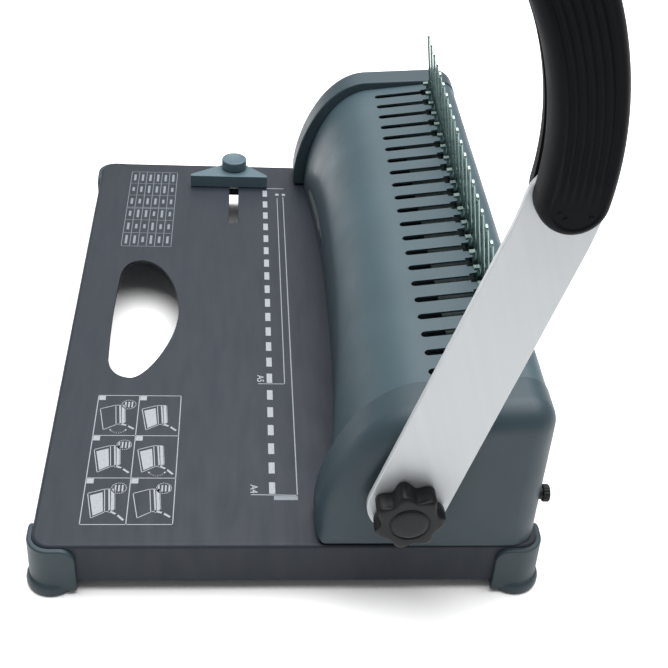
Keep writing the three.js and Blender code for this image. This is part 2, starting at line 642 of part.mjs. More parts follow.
for (const [side, sign] of SIDES) {
  add(`punch_cam_${side}`, onSide(punchCam(), sign), 'steel');
  add(`opener_crank_${side}`, onSide(openerCrank(), sign), 'steel');
}

// ---------- ring opener ----------
// The slot in each web is the crank pin's path seen from the slide, so hooks and lever move in one ratio.
// The path turns back on itself at the top, so the slot is a chain of short slots. Its foot is open.
function webSlot() {
  const seen = (angle) => {
    const [y, z] = crankPin(angle);
    const advance = OPENER_RATIO * angle;
    return [y + advance * Math.cos(SLOPE), z + advance * Math.sin(SLOPE)];
  };
  const steps = 10;
  const rest = seen(0);
  const path = [[rest[0], WEB.slotFoot], rest];
  for (let i = 1; i <= steps; i += 1) path.push(seen(STROKE * i / steps));
  const link = (i) => stretchedX(ribbon([path[i], path[i + 1]], CRANK.pin + GAP), WEB.x - 6, WEB.x + 6);
  return unite(Array.from({ length: path.length - 1 }, (_, i) => link(i)));
}

// Each web hangs from the slide's plate, and its lower edge runs along the slope just over the main shaft.
function slideWeb() {
  const overShaft = (y) => {
    const along = (y - PIVOT.y) * Math.tan(SLOPE);
    return [y, PIVOT.z + along + (SHAFT.radius + 0.6) / Math.cos(SLOPE)];
  };
  const outline = [
    overShaft(58.6), overShaft(80), [85, 100], [76, 98.6], [67.4, 91.4], [62.3, 86], [59.8, 80],
  ];
  return stretchedX(shapeOf(outline), WEB.x - WEB.thick / 2, WEB.x + WEB.thick / 2);
}

function openerSlide() {
  const { top, thick, front, halfX } = OPENER;
  const back = HOOK.front + HOOK.thick;
  const webs = SIDES.map(([, sign]) => onSide(slideWeb(), sign));
  const lug = slopeBox(halfX - 2, OPENER_LUG.end, OPENER_LUG.front, OPENER_LUG.back, top - thick, top);
  const lugs = SIDES.map(([, sign]) => onSide(lug, sign));
  const hooks = atEachHole((x) => {
    const half = HOOK.width / 2;
    const stem = slopeBox(x - half, x + half, HOOK.front, back, top - 1, HOOK.height);
    const lip = slopeBox(x - half, x + half, HOOK.front - HOOK.lip, back, HOOK.height - 1.4, HOOK.height);
    return stem.add(lip);
  });
  const slot = webSlot();
  return unite([slopeBox(-halfX, halfX, front, back, top - thick, top), ...webs, ...lugs, ...hooks])
    .subtract(slot)
    .subtract(onSide(slot, -1));
}

add('opener_slide', openerSlide(), 'zinc');

// ---------- lever ----------
const LEAN = THREE.MathUtils.degToRad(LEVER.lean);

// Centre line of the lever: straight from the pivot, then bent forward. s is the distance from the pivot.
function leverPoint(s) {
  const straight = Math.min(s, LEVER.straight);
  const turn = Math.max(0, s - LEVER.straight) / LEVER.bend;
  const y = PIVOT.y + straight * Math.cos(LEAN) + LEVER.bend * (Math.sin(LEAN + turn) - Math.sin(LEAN));
  const z = PIVOT.z + straight * Math.sin(LEAN) + LEVER.bend * (Math.cos(LEAN) - Math.cos(LEAN + turn));
  return { y, z, heading: LEAN + turn };
}

// Outline around the centre line between two distances, with round ends.
function leverOutline(from, to, half, steps) {
  const side = (sign) => Array.from({ length: steps + 1 }, (_, i) => {
    const s = from + (to - from) * i / steps;
    const p = leverPoint(s);
    const w = half(s);
    return [p.y + sign * w * Math.sin(p.heading), p.z - sign * w * Math.cos(p.heading)];
  });
  const a = leverPoint(from);
  const b = leverPoint(to);
  const start = arc(a.y, a.z, half(from), a.heading + Math.PI / 2, a.heading + 1.5 * Math.PI, 12);
  const end = arc(b.y, b.z, half(to), b.heading - Math.PI / 2, b.heading + Math.PI / 2, 10);
  return [...start.slice(1, -1), ...side(1), ...end.slice(1, -1), ...side(-1).reverse()];
}

const gripFrom = LEVER.straight + GRIP.start + GRIP.half;
const gripTo = LEVER.straight + GRIP.start + GRIP.length - GRIP.half;

function leverBar() {
  const half = (s) => {
    const taper = Math.min(1, s / gripFrom);
    const inGrip = THREE.MathUtils.clamp((s - gripFrom) / 12, 0, 1);
    return THREE.MathUtils.lerp(LEVER.halfLow, LEVER.halfHigh, taper) - 1.6 * inGrip;
  };
  const outline = shapeOf(leverOutline(0, gripTo - 2, half, 22));
  return stretchedX(outline, LEVER.faceX - LEVER.thick, LEVER.faceX)
    .subtract(rod('x', SHAFT.stub + GAP, 150, 250, PIVOT.y, PIVOT.z, 24));
}

add('lever_bar', leverBar(), 'silver');

function gripShell() {
  const outline = shapeOf(leverOutline(gripFrom, gripTo, () => GRIP.half, 12));
  const x0 = LEVER.faceX + GAP;
  return stretchedX(outline, x0 - 20, x0 + GRIP.thick - GRIP.round, edgeRound(GRIP.round, 3))
    .subtract(box(0, x0, -FAR, FAR, -FAR, FAR));
}

const outerShell = gripShell();
const leverMiddle = LEVER.faceX - LEVER.thick / 2;
add('grip_shell_outer', outerShell, 'black');
add('grip_shell_inner', outerShell.mirror([1, 0, 0]).translate([2 * leverMiddle, 0, 0]), 'black');

const collarFrom = CAP.outer + GAP;
const collarTo = LEVER.faceX - LEVER.thick - GAP;
const collar = turned([
  [boreRadius, collarFrom], [COLLAR_RADIUS, collarFrom], [COLLAR_RADIUS, collarTo],
  [boreRadius, collarTo], [boreRadius, collarFrom],
], 'x', PIVOT.y, PIVOT.z, 32);
add('lever_collar', collar, 'steel');

function starKnob() {
  const { inner, outer, radius, lobes, wave, edge } = KNOB;
  const outline = [];
  const steps = lobes * 8;
  for (let i = 0; i < steps; i += 1) {
    const a = 2 * Math.PI * i / steps;
    const r = radius - wave + wave * Math.cos(lobes * a);
    outline.push([PIVOT.y + r * Math.cos(a), PIVOT.z + r * Math.sin(a)]);
  }
  return stretchedX(shapeOf(outline), inner + edge, outer - edge, edgeRound(edge, 2))
    .add(rod('x', KNOB_DOME.radius, outer - 1, outer + KNOB_DOME.proud, PIVOT.y, PIVOT.z, 28))
    .subtract(rod('x', SHAFT.stub + GAP, inner - 5, SHAFT.end + GAP, PIVOT.y, PIVOT.z, 24));
}

add('star_knob', starKnob(), 'black');

// ---------- paper edge guide ----------
function paperGuide() {
  const { face, front, back, lip, nose, height } = GUIDE;
  const round = arc(BOLT.x, BOLT.y, nose, Math.PI * 0.62, Math.PI * 1.38, 8);
  const outline = [[face, front], [face, back], [face - lip, back], ...round, [face - lip, front]];
  return raised(shapeOf(outline), BASE.top + GAP, BASE.top + height)
    .subtract(rod('z', BOLT.bore, 0, FAR, BOLT.x, BOLT.y, 16));
}

add('paper_guide', paperGuide(), 'guide');

const guideTop = BASE.top + GUIDE.height + GAP;
const knobTop = guideTop + GUIDE_KNOB.height;
const knobBore = rod('z', BOLT.bore, 0, guideTop + GUIDE_KNOB.depth, BOLT.x, BOLT.y, 16);
const guideKnob = turned([
  [0, guideTop], [GUIDE_KNOB.radius, guideTop], [GUIDE_KNOB.radius, knobTop - GUIDE_KNOB.edge],
  [GUIDE_KNOB.radius - GUIDE_KNOB.edge, knobTop], [0, knobTop],
], 'z', BOLT.x, BOLT.y, 32).subtract(knobBore);
add('guide_knob', guideKnob, 'guide');

function guideBolt() {
  const { x, y, radius, head, headThick, neck } = BOLT;
  const under = BASE.top - BASE.sheet - GAP;
  const boltTop = guideTop + GUIDE_KNOB.depth - 0.4;
  const squareNeck = box(x - neck, x + neck, y - neck, y + neck, under - 1, BASE.top);
  return turned([
    [0, under - headThick], [head - 1, under - headThick], [head, under - headThick + 1], [head, under],
    [radius, under], [radius, boltTop], [0, boltTop],
  ], 'z', x, y, 20).add(squareNeck);
}

add('guide_bolt', guideBolt(), 'steel');

export default machine;
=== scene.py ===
"""Comb binding machine: the visible surfaces and materials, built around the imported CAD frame.

Shapes are drawn in millimetres, with x measured from the middle of the row of holes and z from the table,
and become metres in the frame's own coordinates when a piece is made.
"""
import json
import math
import random

import bmesh
import bpy
from mathutils import Matrix, Vector


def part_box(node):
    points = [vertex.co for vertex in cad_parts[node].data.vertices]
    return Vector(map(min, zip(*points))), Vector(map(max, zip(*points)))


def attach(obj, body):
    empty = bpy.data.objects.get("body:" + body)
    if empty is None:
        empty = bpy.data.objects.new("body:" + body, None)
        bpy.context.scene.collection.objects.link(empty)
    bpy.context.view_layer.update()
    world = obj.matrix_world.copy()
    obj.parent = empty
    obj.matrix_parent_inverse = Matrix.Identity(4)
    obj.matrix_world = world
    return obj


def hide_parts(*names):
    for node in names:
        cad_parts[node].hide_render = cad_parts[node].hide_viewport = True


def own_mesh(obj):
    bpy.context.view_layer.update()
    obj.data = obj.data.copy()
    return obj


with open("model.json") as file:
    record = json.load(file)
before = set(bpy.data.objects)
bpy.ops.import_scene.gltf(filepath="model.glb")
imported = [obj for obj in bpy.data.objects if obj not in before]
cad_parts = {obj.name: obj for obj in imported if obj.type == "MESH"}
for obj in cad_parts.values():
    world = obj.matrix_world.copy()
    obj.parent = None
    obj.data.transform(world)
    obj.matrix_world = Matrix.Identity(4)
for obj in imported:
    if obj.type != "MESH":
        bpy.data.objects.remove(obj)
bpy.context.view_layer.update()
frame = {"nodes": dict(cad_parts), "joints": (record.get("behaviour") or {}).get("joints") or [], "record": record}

MM = 0.001
QUARTER = math.pi / 2
JOINTS = {joint["name"]: joint for joint in frame["joints"]}
MID_X = sum(corner.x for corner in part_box("base_plate")) / 2 / MM


def box(node):
    """Lowest and highest corner of a CAD node, in millimetres."""
    shift = Vector((MID_X, 0, 0))
    return tuple(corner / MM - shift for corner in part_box(node))


# ---------- places taken from the frame ----------
BASE_LOW, BASE_HIGH = box("base_plate")
CAP_LOW, CAP_HIGH = box("end_cap_right")
COVER_LOW, COVER_HIGH = box("front_cover")
REAR_LOW, REAR_HIGH = box("rear_cover")
LEVER_LOW, LEVER_HIGH = box("lever_bar")
GRIP_LOW, GRIP_HIGH = box("grip_shell_outer")
GRIP_INNER_HIGH = box("grip_shell_inner")[1]
KNOB_LOW, KNOB_HIGH = box("star_knob")
GUIDE_LOW, GUIDE_HIGH = box("paper_guide")
GUIDE_KNOB_LOW, GUIDE_KNOB_HIGH = box("guide_knob")
COMB_LOW, COMB_HIGH = box("fixed_comb")
DIE_LOW, DIE_HIGH = box("die_plate")

TOP = BASE_HIGH.z
PIVOT = Vector(JOINTS["lever_hinge"]["pos_m"]) / MM
GUIDE_AXIS = Vector(JOINTS["guide_knob_spin"]["pos_m"]) / MM - Vector((MID_X, 0, 0))
GUIDE_TRAVEL = JOINTS["edge_guide_slide"]["range_m"][1] / MM
SLOPE = math.atan2(-JOINTS["opener_slide_travel"]["axis"][2], -JOINTS["opener_slide_travel"]["axis"][1])

# ---------- driving dimensions ----------
HOLES = 21
PITCH = 14.2875
SHEET = 1.6
FOLD = 2.0
BASE_CORNER = 9.0
PAPER_GAP = 1.9
SHELL = 2.4
THROAT_STEP = 56.4
CAP_ROUND = 12.4
REAR_ROUND = 13.0
SLOPE_START = Vector((62.0, 103.5))
SLOT_HALF = 2.6
NOTCH_HALF = 4.2
PANEL = 1.2
SLOT_LENGTH = 30.0
SLOT_END = 35.7
PRONG = {"front": 36.0, "thick": 1.5, "half": 2.5, "height": 39.8, "root": -1.5, "foot": -30.0}
LEVER_LEAN = math.radians(73.7)
LEVER_STRAIGHT = 144.0
LEVER_BEND = 138.0
GRIP_HALF = 14.2
GRIP_START = 153.5
GRIP_END = 275.0
GRIP_FROM = GRIP_START + GRIP_HALF
GRIP_TO = GRIP_END - GRIP_HALF


def hole_x(index):
    return (index - (HOLES - 1) / 2) * PITCH


def slope_point(u, v):
    """Point (y, z) on the slotted slope: u runs rearwards from the slots' front ends, v square to it."""
    return Vector((
        SLOPE_START.x + u * math.cos(SLOPE) - v * math.sin(SLOPE),
        SLOPE_START.y + u * math.sin(SLOPE) + v * math.cos(SLOPE),
    ))


# ---------- outlines ----------
def arc(cx, cy, r, start, end, steps):
    return [(cx + r * math.cos(start + (end - start) * i / steps),
             cy + r * math.sin(start + (end - start) * i / steps)) for i in range(steps + 1)]


def cubic(a, b, c, d, steps):
    points = []
    for i in range(steps + 1):
        t = i / steps
        weights = ((1 - t) ** 3, 3 * t * (1 - t) ** 2, 3 * t * t * (1 - t), t ** 3)
        points.append(tuple(sum(w * p[k] for w, p in zip(weights, (a, b, c, d))) for k in (0, 1)))
    return points


def rounded_rectangle(x0, x1, y0, y1, r, steps=8):
    corners = ((x1 - r, y0 + r, -1), (x1 - r, y1 - r, 0), (x0 + r, y1 - r, 1), (x0 + r, y0 + r, 2))
    return [p for cx, cy, k in corners for p in arc(cx, cy, r, k * QUARTER, (k + 1) * QUARTER, steps)]


def stadium(x0, x1, y, r, steps=12):
    return arc(x1, y, r, -QUARTER, QUARTER, steps) + arc(x0, y, r, QUARTER, 3 * QUARTER, steps)


def turning(outline):
    """1 for an outline that runs anticlockwise, -1 for a clockwise one."""
    area = sum(a[0] * b[1] - b[0] * a[1] for a, b in zip(outline, outline[1:] + outline[:1]))
    return 1 if area > 0 else -1


def offset(outline, distance, closed=True, side=None):
    """An outline moved outwards by a distance, or inwards by a negative one."""
    count = len(outline)
    side = side or turning(outline)
    moved = []
    for i, here in enumerate(outline):
        before = outline[(i - 1) % count] if closed or i else None
        after = outline[(i + 1) % count] if closed or i < count - 1 else None
        normals = []
        for a, b in ((before, here), (here, after)):
            if a and b and (Vector(b) - Vector(a)).length > 1e-6:
                along = (Vector(b) - Vector(a)).normalized()
                normals.append(Vector((along.y, -along.x)) * side)
        middle = sum(normals, Vector((0, 0))).normalized()
        reach = distance / max(0.35, middle.dot(normals[0]))
        moved.append((here[0] + middle.x * reach, here[1] + middle.y * reach))
    return moved


def quarter_round(r, steps):
    """(inset, drop) pairs round a convex edge of radius r, from the side up to the top."""
    turn = [QUARTER * i / steps for i in range(steps + 1)]
    return [(r * (1 - math.cos(a)), r * (1 - math.sin(a))) for a in turn]


# ---------- meshes ----------
def placed(name, data):
    """A new object in the scene that shows the data."""
    thing = bpy.data.objects.new(name, data)
    bpy.context.scene.collection.objects.link(thing)
    return thing


def in_plan(p, t):
    return (p[0], p[1], t)


def across_x(p, t):
    return (t, p[0], p[1])


def on_slope(p, t):
    """p is (x, v) and t is u on the slotted slope."""
    y, z = slope_point(t, p[1])
    return (p[0], y, z)


SAME_POINT = 4e-6
NO_LENGTH = 2e-6


class Surface:
    """Points and faces of one piece, in millimetres."""

    def __init__(self):
        self.points = []
        self.faces = []
        self.wires = []
        self.planes = []

    def add(self, point):
        self.points.append(tuple(point))
        return len(self.points) - 1

    def face(self, points):
        self.faces.append([self.add(p) for p in points])

    def loft(self, rows, around=False, skip=()):
        """Quads between rows of equally many points.

        around closes the rows, and skip leaves out the quads at (row, column).
        """
        index = [[self.add(p) for p in row] for row in rows]
        count = len(rows[0])
        for i, (a, b) in enumerate(zip(index, index[1:])):
            for j in range(count if around else count - 1):
                k = (j + 1) % count
                if (i, j) not in skip:
                    self.faces.append([a[j], a[k], b[k], b[j]])

    def prism(self, outline, low, high, r, lay, steps=3):
        """An outline stretched from low to high with edges rounded by r."""
        rounds = quarter_round(r, steps)
        rows = [[lay(p, low + drop) for p in offset(outline, -inset)] for inset, drop in reversed(rounds)]
        rows += [[lay(p, high - drop) for p in offset(outline, -inset)] for inset, drop in rounds]
        self.loft(rows, around=True)
        self.face(rows[0])
        self.face(rows[-1])

    def turned(self, profile, place, steps=64, flutes=0):
        """A turned form, where place makes a point of (angle, radius, height).

        profile holds (radius, height), and the depth of the flutes as a third value where there are any.
        """
        rows = []
        for radius, height, *depth in profile:
            row = []
            for i in range(steps):
                a = 2 * math.pi * i / steps
                reach = radius - depth[0] * (1 - math.cos(flutes * a)) if depth else radius
                row.append(place(a, reach, height))
            rows.append(row)
        self.loft(rows, around=True)

    def wire(self, points):
        """Loose edges from point to point, which bound a face that close() fills."""
        self.wires.append([self.add(p) for p in points])

    def close(self, axis, value):
        """Fills the flat face that lies at that value of x, y or z, round any holes in it."""
        self.planes.append((axis, value + (MID_X if axis == 0 else 0)))

    def make(self, name, material, body, slot=None, nodes=(), crease=32, even=True, wall=0):
        """The finished piece, riding on its body and standing for the CAD nodes named.

        wall thickens an open surface inwards to a wall of that many millimetres.
        """
        mesh = bpy.data.meshes.new(name)
        bm = bmesh.new()
        corners = [bm.verts.new(((x + MID_X) * MM, y * MM, z * MM)) for x, y, z in self.points]
        for ring in self.faces:
            bm.faces.new([corners[i] for i in ring])
        for run in self.wires:
            for a, b in zip(run, run[1:]):
                bm.edges.new((corners[a], corners[b]))
        bmesh.ops.remove_doubles(bm, verts=bm.verts, dist=SAME_POINT)
        bmesh.ops.dissolve_degenerate(bm, edges=bm.edges, dist=NO_LENGTH)
        for axis, value in self.planes:
            edges = [e for e in bm.edges if len(e.link_faces) < 2
                     and all(abs(v.co[axis] / MM - value) < 1e-3 for v in e.verts)]
            bmesh.ops.triangle_fill(bm, edges=edges, use_beauty=True)
        bmesh.ops.recalc_face_normals(bm, faces=bm.faces)
        bm.to_mesh(mesh)
        bm.free()
        piece = placed(name, mesh)
        if wall:
            skin = piece.modifiers.new("wall", "SOLIDIFY")
            skin.thickness = wall * MM
            skin.offset = -1
        return dress(piece, material, body, nodes, crease, even)


def dress(piece, material, body, nodes, crease=32, even=True):
    """Shading, material and frame duties that every piece gets."""
    piece.data.shade_smooth()
    piece.data.set_sharp_from_angle(angle=math.radians(crease))
    if even:
        flat = piece.modifiers.new("flat faces stay flat", "WEIGHTED_NORMAL")
        flat.keep_sharp = True
    piece.data.materials.clear()
    piece.data.materials.append(material)
    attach(piece, body)
    if nodes:
        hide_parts(*nodes)
    return piece


def eased(node, name, material, body, width, segments=3):
    """A CAD node remade with its flat faces whole and its edges eased by a small radius."""
    bm = bmesh.new()
    bm.from_mesh(frame["nodes"][node].data)
    bmesh.ops.remove_doubles(bm, verts=bm.verts, dist=NO_LENGTH)
    bmesh.ops.dissolve_limit(bm, angle_limit=math.radians(0.6), verts=bm.verts, edges=bm.edges)
    bmesh.ops.recalc_face_normals(bm, faces=bm.faces)
    mesh = bpy.data.meshes.new(name)
    bm.to_mesh(mesh)
    bm.free()
    piece = placed(name, mesh)
    bevel = piece.modifiers.new("eased edges", "BEVEL")
    bevel.width = width * MM
    bevel.segments = segments
    bevel.limit_method = "ANGLE"
    bevel.angle_limit = math.radians(38)
    bevel.harden_normals = False
    return dress(piece, material, body, (node,), crease=42)


# ---------- materials ----------
def shader(name, color, roughness, metallic=0.0, **sockets):
    """A Principled material and helpers to wire it."""
    material = bpy.data.materials.new(name)
    material.use_nodes = True
    tree = material.node_tree
    principled = tree.nodes["Principled BSDF"]
    principled.inputs["Base Color"].default_value = (*color, 1)
    principled.inputs["Roughness"].default_value = roughness
    principled.inputs["Metallic"].default_value = metallic
    for socket, value in sockets.items():
        principled.inputs[socket.replace("_", " ")].default_value = value
    return material, tree, principled


def noise(tree, scale, detail=3.0, stretch=None, turn=None):
    """Noise in the piece's own coordinates, stretched along and turned about its axes where asked."""
    place = tree.nodes.new("ShaderNodeTexCoord").outputs["Object"]
    for kind, value in (("Rotation", turn), ("Scale", stretch)):
        if value:
            mapping = tree.nodes.new("ShaderNodeMapping")
            mapping.inputs[kind].default_value = value
            tree.links.new(place, mapping.inputs["Vector"])
            place = mapping.outputs["Vector"]
    texture = tree.nodes.new("ShaderNodeTexNoise")
    texture.inputs["Scale"].default_value = scale
    texture.inputs["Detail"].default_value = detail
    tree.links.new(place, texture.inputs["Vector"])
    return texture.outputs["Fac"]


def spread(tree, value, low, high, start=0.3, end=0.7):
    """Maps a noise value onto a range."""
    node = tree.nodes.new("ShaderNodeMapRange")
    for socket, number in (("From Min", start), ("From Max", end), ("To Min", low), ("To Max", high)):
        node.inputs[socket].default_value = number
    tree.links.new(value, node.inputs["Value"])
    return node.outputs["Result"]


def tint(tree, principled, factor, low, high):
    """Colours a surface between two colours by a factor."""
    mix = tree.nodes.new("ShaderNodeMix")
    mix.data_type = "RGBA"
    mix.inputs["A"].default_value = (*low, 1)
    mix.inputs["B"].default_value = (*high, 1)
    tree.links.new(factor, mix.inputs["Factor"])
    tree.links.new(mix.outputs["Result"], principled.inputs["Base Color"])


def bump(tree, principled, height, distance, strength=1.0, under=None):
    node = tree.nodes.new("ShaderNodeBump")
    node.inputs["Distance"].default_value = distance
    node.inputs["Strength"].default_value = strength
    tree.links.new(height, node.inputs["Height"])
    if under:
        tree.links.new(under, node.inputs["Normal"])
    tree.links.new(node.outputs["Normal"], principled.inputs["Normal"])
    return node.outputs["Normal"]


def shaded(color, amount):
    return tuple(c * amount for c in color)


def powder_coat(name, color, roughness=0.5):
    """Matt powder coat on sheet steel: a fine pebbled skin, cloudy colour and faint handling marks."""
    material, tree, principled = shader(name, color, roughness, Specular_IOR_Level=0.22)
    tint(tree, principled, spread(tree, noise(tree, 14, 4), 0, 1), shaded(color, 0.93), shaded(color, 1.07))
    rub = noise(tree, 30, 6, stretch=(1, 5, 1))
    tree.links.new(spread(tree, rub, roughness - 0.07, roughness + 0.08), principled.inputs["Roughness"])
    broad = bump(tree, principled, noise(tree, 60, 2), 0.0004, 0.12)
    bump(tree, principled, noise(tree, 2600, 2), 0.00006, 0.5, broad)
    return material


def moulded(name, color, roughness, grain=1900, depth=0.00005, cloud=0.07, **sockets):
    """Moulded plastic: spark-eroded grain, slight flow clouds and rubbed patches that shine a little more."""
    material, tree, principled = shader(name, color, roughness, **sockets)
    tint(tree, principled, spread(tree, noise(tree, 22, 3), 0, 1),
         shaded(color, 1 - cloud), shaded(color, 1 + cloud))
    tree.links.new(spread(tree, noise(tree, 38, 5), roughness - 0.06, roughness + 0.07),
                   principled.inputs["Roughness"])
    bump(tree, principled, noise(tree, grain, 2), depth, 0.6)
    return material


def brushed(name, color, roughness, stretch, turn=None, depth=0.00003, metallic=1.0, contrast=1.0):
    """Metal with a directional grain: the noise is long along the grain and fine across it."""
    material, tree, principled = shader(name, color, roughness, metallic)
    grain = noise(tree, 260, 4, stretch=stretch, turn=turn)
    tint(tree, principled, spread(tree, grain, 0, 1), shaded(color, 1 - 0.1 * contrast),
         shaded(color, 1 + 0.06 * contrast))
    blotch = spread(tree, noise(tree, 45, 4), roughness - 0.06 * contrast, roughness + 0.08 * contrast)
    tree.links.new(blotch, principled.inputs["Roughness"])
    bump(tree, principled, grain, depth, 0.5)
    return material


def printed(name, color):
    """Screen-printed ink, a little thin and broken up."""
    material, tree, principled = shader(name, color, 0.55)
    tint(tree, principled, spread(tree, noise(tree, 900, 3), 0, 1, 0.25, 0.5), shaded(color, 0.72), color)
    bump(tree, principled, noise(tree, 2600, 2), 0.00004, 0.4)
    return material


# Painted shade under the slotted slope: its dark colour, the depth below the slope's top where it is full, and the
# depth where it has faded out
SHADE_UNDER_SLOPE = (0.018, 0.026, 0.025, 1)
SHADE_FULL_BELOW = 3.6
SHADE_GONE_ABOVE = 2.2


def hook_metal():
    """Zinc plate with painted shade on its flat part under the slotted slope: a dark colour from a few millimetres
    below the slope's top.
    """
    material = ZINC.copy()
    material.name = "zinc plate with painted shade under the slope"
    tree = material.node_tree
    principled = tree.nodes["Principled BSDF"]
    place = tree.nodes.new("ShaderNodeTexCoord")
    level = tree.nodes.new("ShaderNodeVectorMath")
    level.operation = "DOT_PRODUCT"
    level.inputs[1].default_value = (0, -math.sin(SLOPE), math.cos(SLOPE))
    tree.links.new(place.outputs["Object"], level.inputs[0])
    surface = (-SLOPE_START.x * math.sin(SLOPE) + SLOPE_START.y * math.cos(SLOPE)) * MM
    # Painted shade mask: 0 deeper than the full-shade depth, 1 above the depth where it fades out
    unshaded = spread(tree, level.outputs["Value"], 0, 1, surface - SHADE_FULL_BELOW * MM, surface - SHADE_GONE_ABOVE * MM)
    mix = tree.nodes.new("ShaderNodeMix")
    mix.data_type = "RGBA"
    mix.inputs["A"].default_value = SHADE_UNDER_SLOPE
    tree.links.new(principled.inputs["Base Color"].links[0].from_socket, mix.inputs["B"])
    tree.links.new(unshaded, mix.inputs["Factor"])
    tree.links.new(mix.outputs["Result"], principled.inputs["Base Color"])
    return material


BASE_PAINT = powder_coat("slate powder coat", (0.0125, 0.0165, 0.0235), 0.52)
COVER_PLASTIC = moulded("blue grey cover plastic", (0.036, 0.059, 0.071), 0.46, Specular_IOR_Level=0.28)
# Painted shade: the cover plastic darkened to about two thirds of its colour, used on the end caps
SHADED_COVER_PLASTIC = moulded("blue grey cover plastic darkened as painted shade", (0.024, 0.04, 0.049), 0.46, Specular_IOR_Level=0.26)
BOOT_PLASTIC = moulded("dark grey boot plastic", (0.02, 0.035, 0.042), 0.48, Specular_IOR_Level=0.25)
GUIDE_PLASTIC = moulded("light blue grey guide plastic", (0.062, 0.098, 0.118), 0.42,
                        Specular_IOR_Level=0.28)
GRIP_PLASTIC = moulded("black grip plastic", (0.004, 0.0044, 0.0055), 0.5, grain=1500, depth=0.00006,
                        Specular_IOR_Level=0.06)
KNOB_PLASTIC = moulded("black knob plastic", (0.004, 0.0047, 0.0055), 0.45, grain=1300, depth=0.00008,
                        Specular_IOR_Level=0.2)
TRAY_PLASTIC = moulded("black tray plastic", (0.014, 0.016, 0.018), 0.55, Specular_IOR_Level=0.25)
LEVER_SILVER = brushed(
    "satin silver lever", (0.41, 0.43, 0.443), 0.42, stretch=(1, 0.03, 1),
    turn=(LEVER_LEAN, 0, 0), depth=0.000008, metallic=0.35, contrast=0.25)
ZINC = brushed("zinc plated sheet", (0.27, 0.36, 0.335), 0.25, stretch=(0.06, 1, 1))
TOOL_STEEL = brushed("ground tool steel", (0.42, 0.43, 0.45), 0.28, stretch=(0.05, 1, 1))
FRAME_STEEL = brushed("rolled frame steel", (0.35, 0.36, 0.37), 0.42, stretch=(1, 0.08, 1))
FASTENER = brushed("zinc plated fastener", (0.5, 0.51, 0.5), 0.32, stretch=(1, 1, 1))
SPRING_WIRE = brushed("drawn spring wire", (0.4, 0.4, 0.4), 0.35, stretch=(1, 1, 0.2))
BRASS = brushed("turned brass", (0.6, 0.45, 0.2), 0.35, stretch=(0.1, 1, 1))
INK = printed("white ink", (0.21, 0.225, 0.245))
GREY_INK = printed("grey ink", (0.125, 0.142, 0.16))
BADGE_PANEL = brushed("badge panel foil", (0.16, 0.18, 0.19), 0.4, stretch=(0.05, 1, 1), metallic=0.3)
LINE_INK = printed("thin line ink", (0.17, 0.19, 0.21))
BADGE = brushed("plain badge foil", (0.03, 0.035, 0.04), 0.36, stretch=(0.05, 1, 1), metallic=0.2)


# ---------- base plate ----------
def hand_hole():
    """Long grip opening, nearly straight in front and bowed at the back."""
    front = [(x, -95.6 - 0.9 * (1 - (x / 40) ** 2)) for x in range(-40, 41, 8)]
    right = cubic((40, -95.6), (51, -94.6), (57, -89.6), (57.5, -82.6), 12)
    back_right = cubic((57.5, -82.6), (58, -74), (24, -59), (-2, -59), 22)
    back_left = cubic((-2, -59), (-28, -59), (-55, -69), (-58, -82.6), 22)
    left = cubic((-58, -82.6), (-58.5, -90.6), (-51, -95.1), (-40, -95.6), 12)
    return front[:-1] + right[:-1] + back_right[:-1] + back_left[:-1] + left[:-1]


MOUTH_LOW, MOUTH_HIGH, MOUTH_TOP = 33.2, 68.8, 23.0
WINDOW_LOW, WINDOW_HIGH, WINDOW_GAP, WINDOW_CORNER = 43.7, 56.9, 0.3, 0.4
GUIDE_SLOT_BEFORE, GUIDE_SLOT_BEYOND, GUIDE_SLOT_HALF = 4.5, 2.5, 3
OPENING_EDGE = 0.35
INNER_FOLD = 0.6


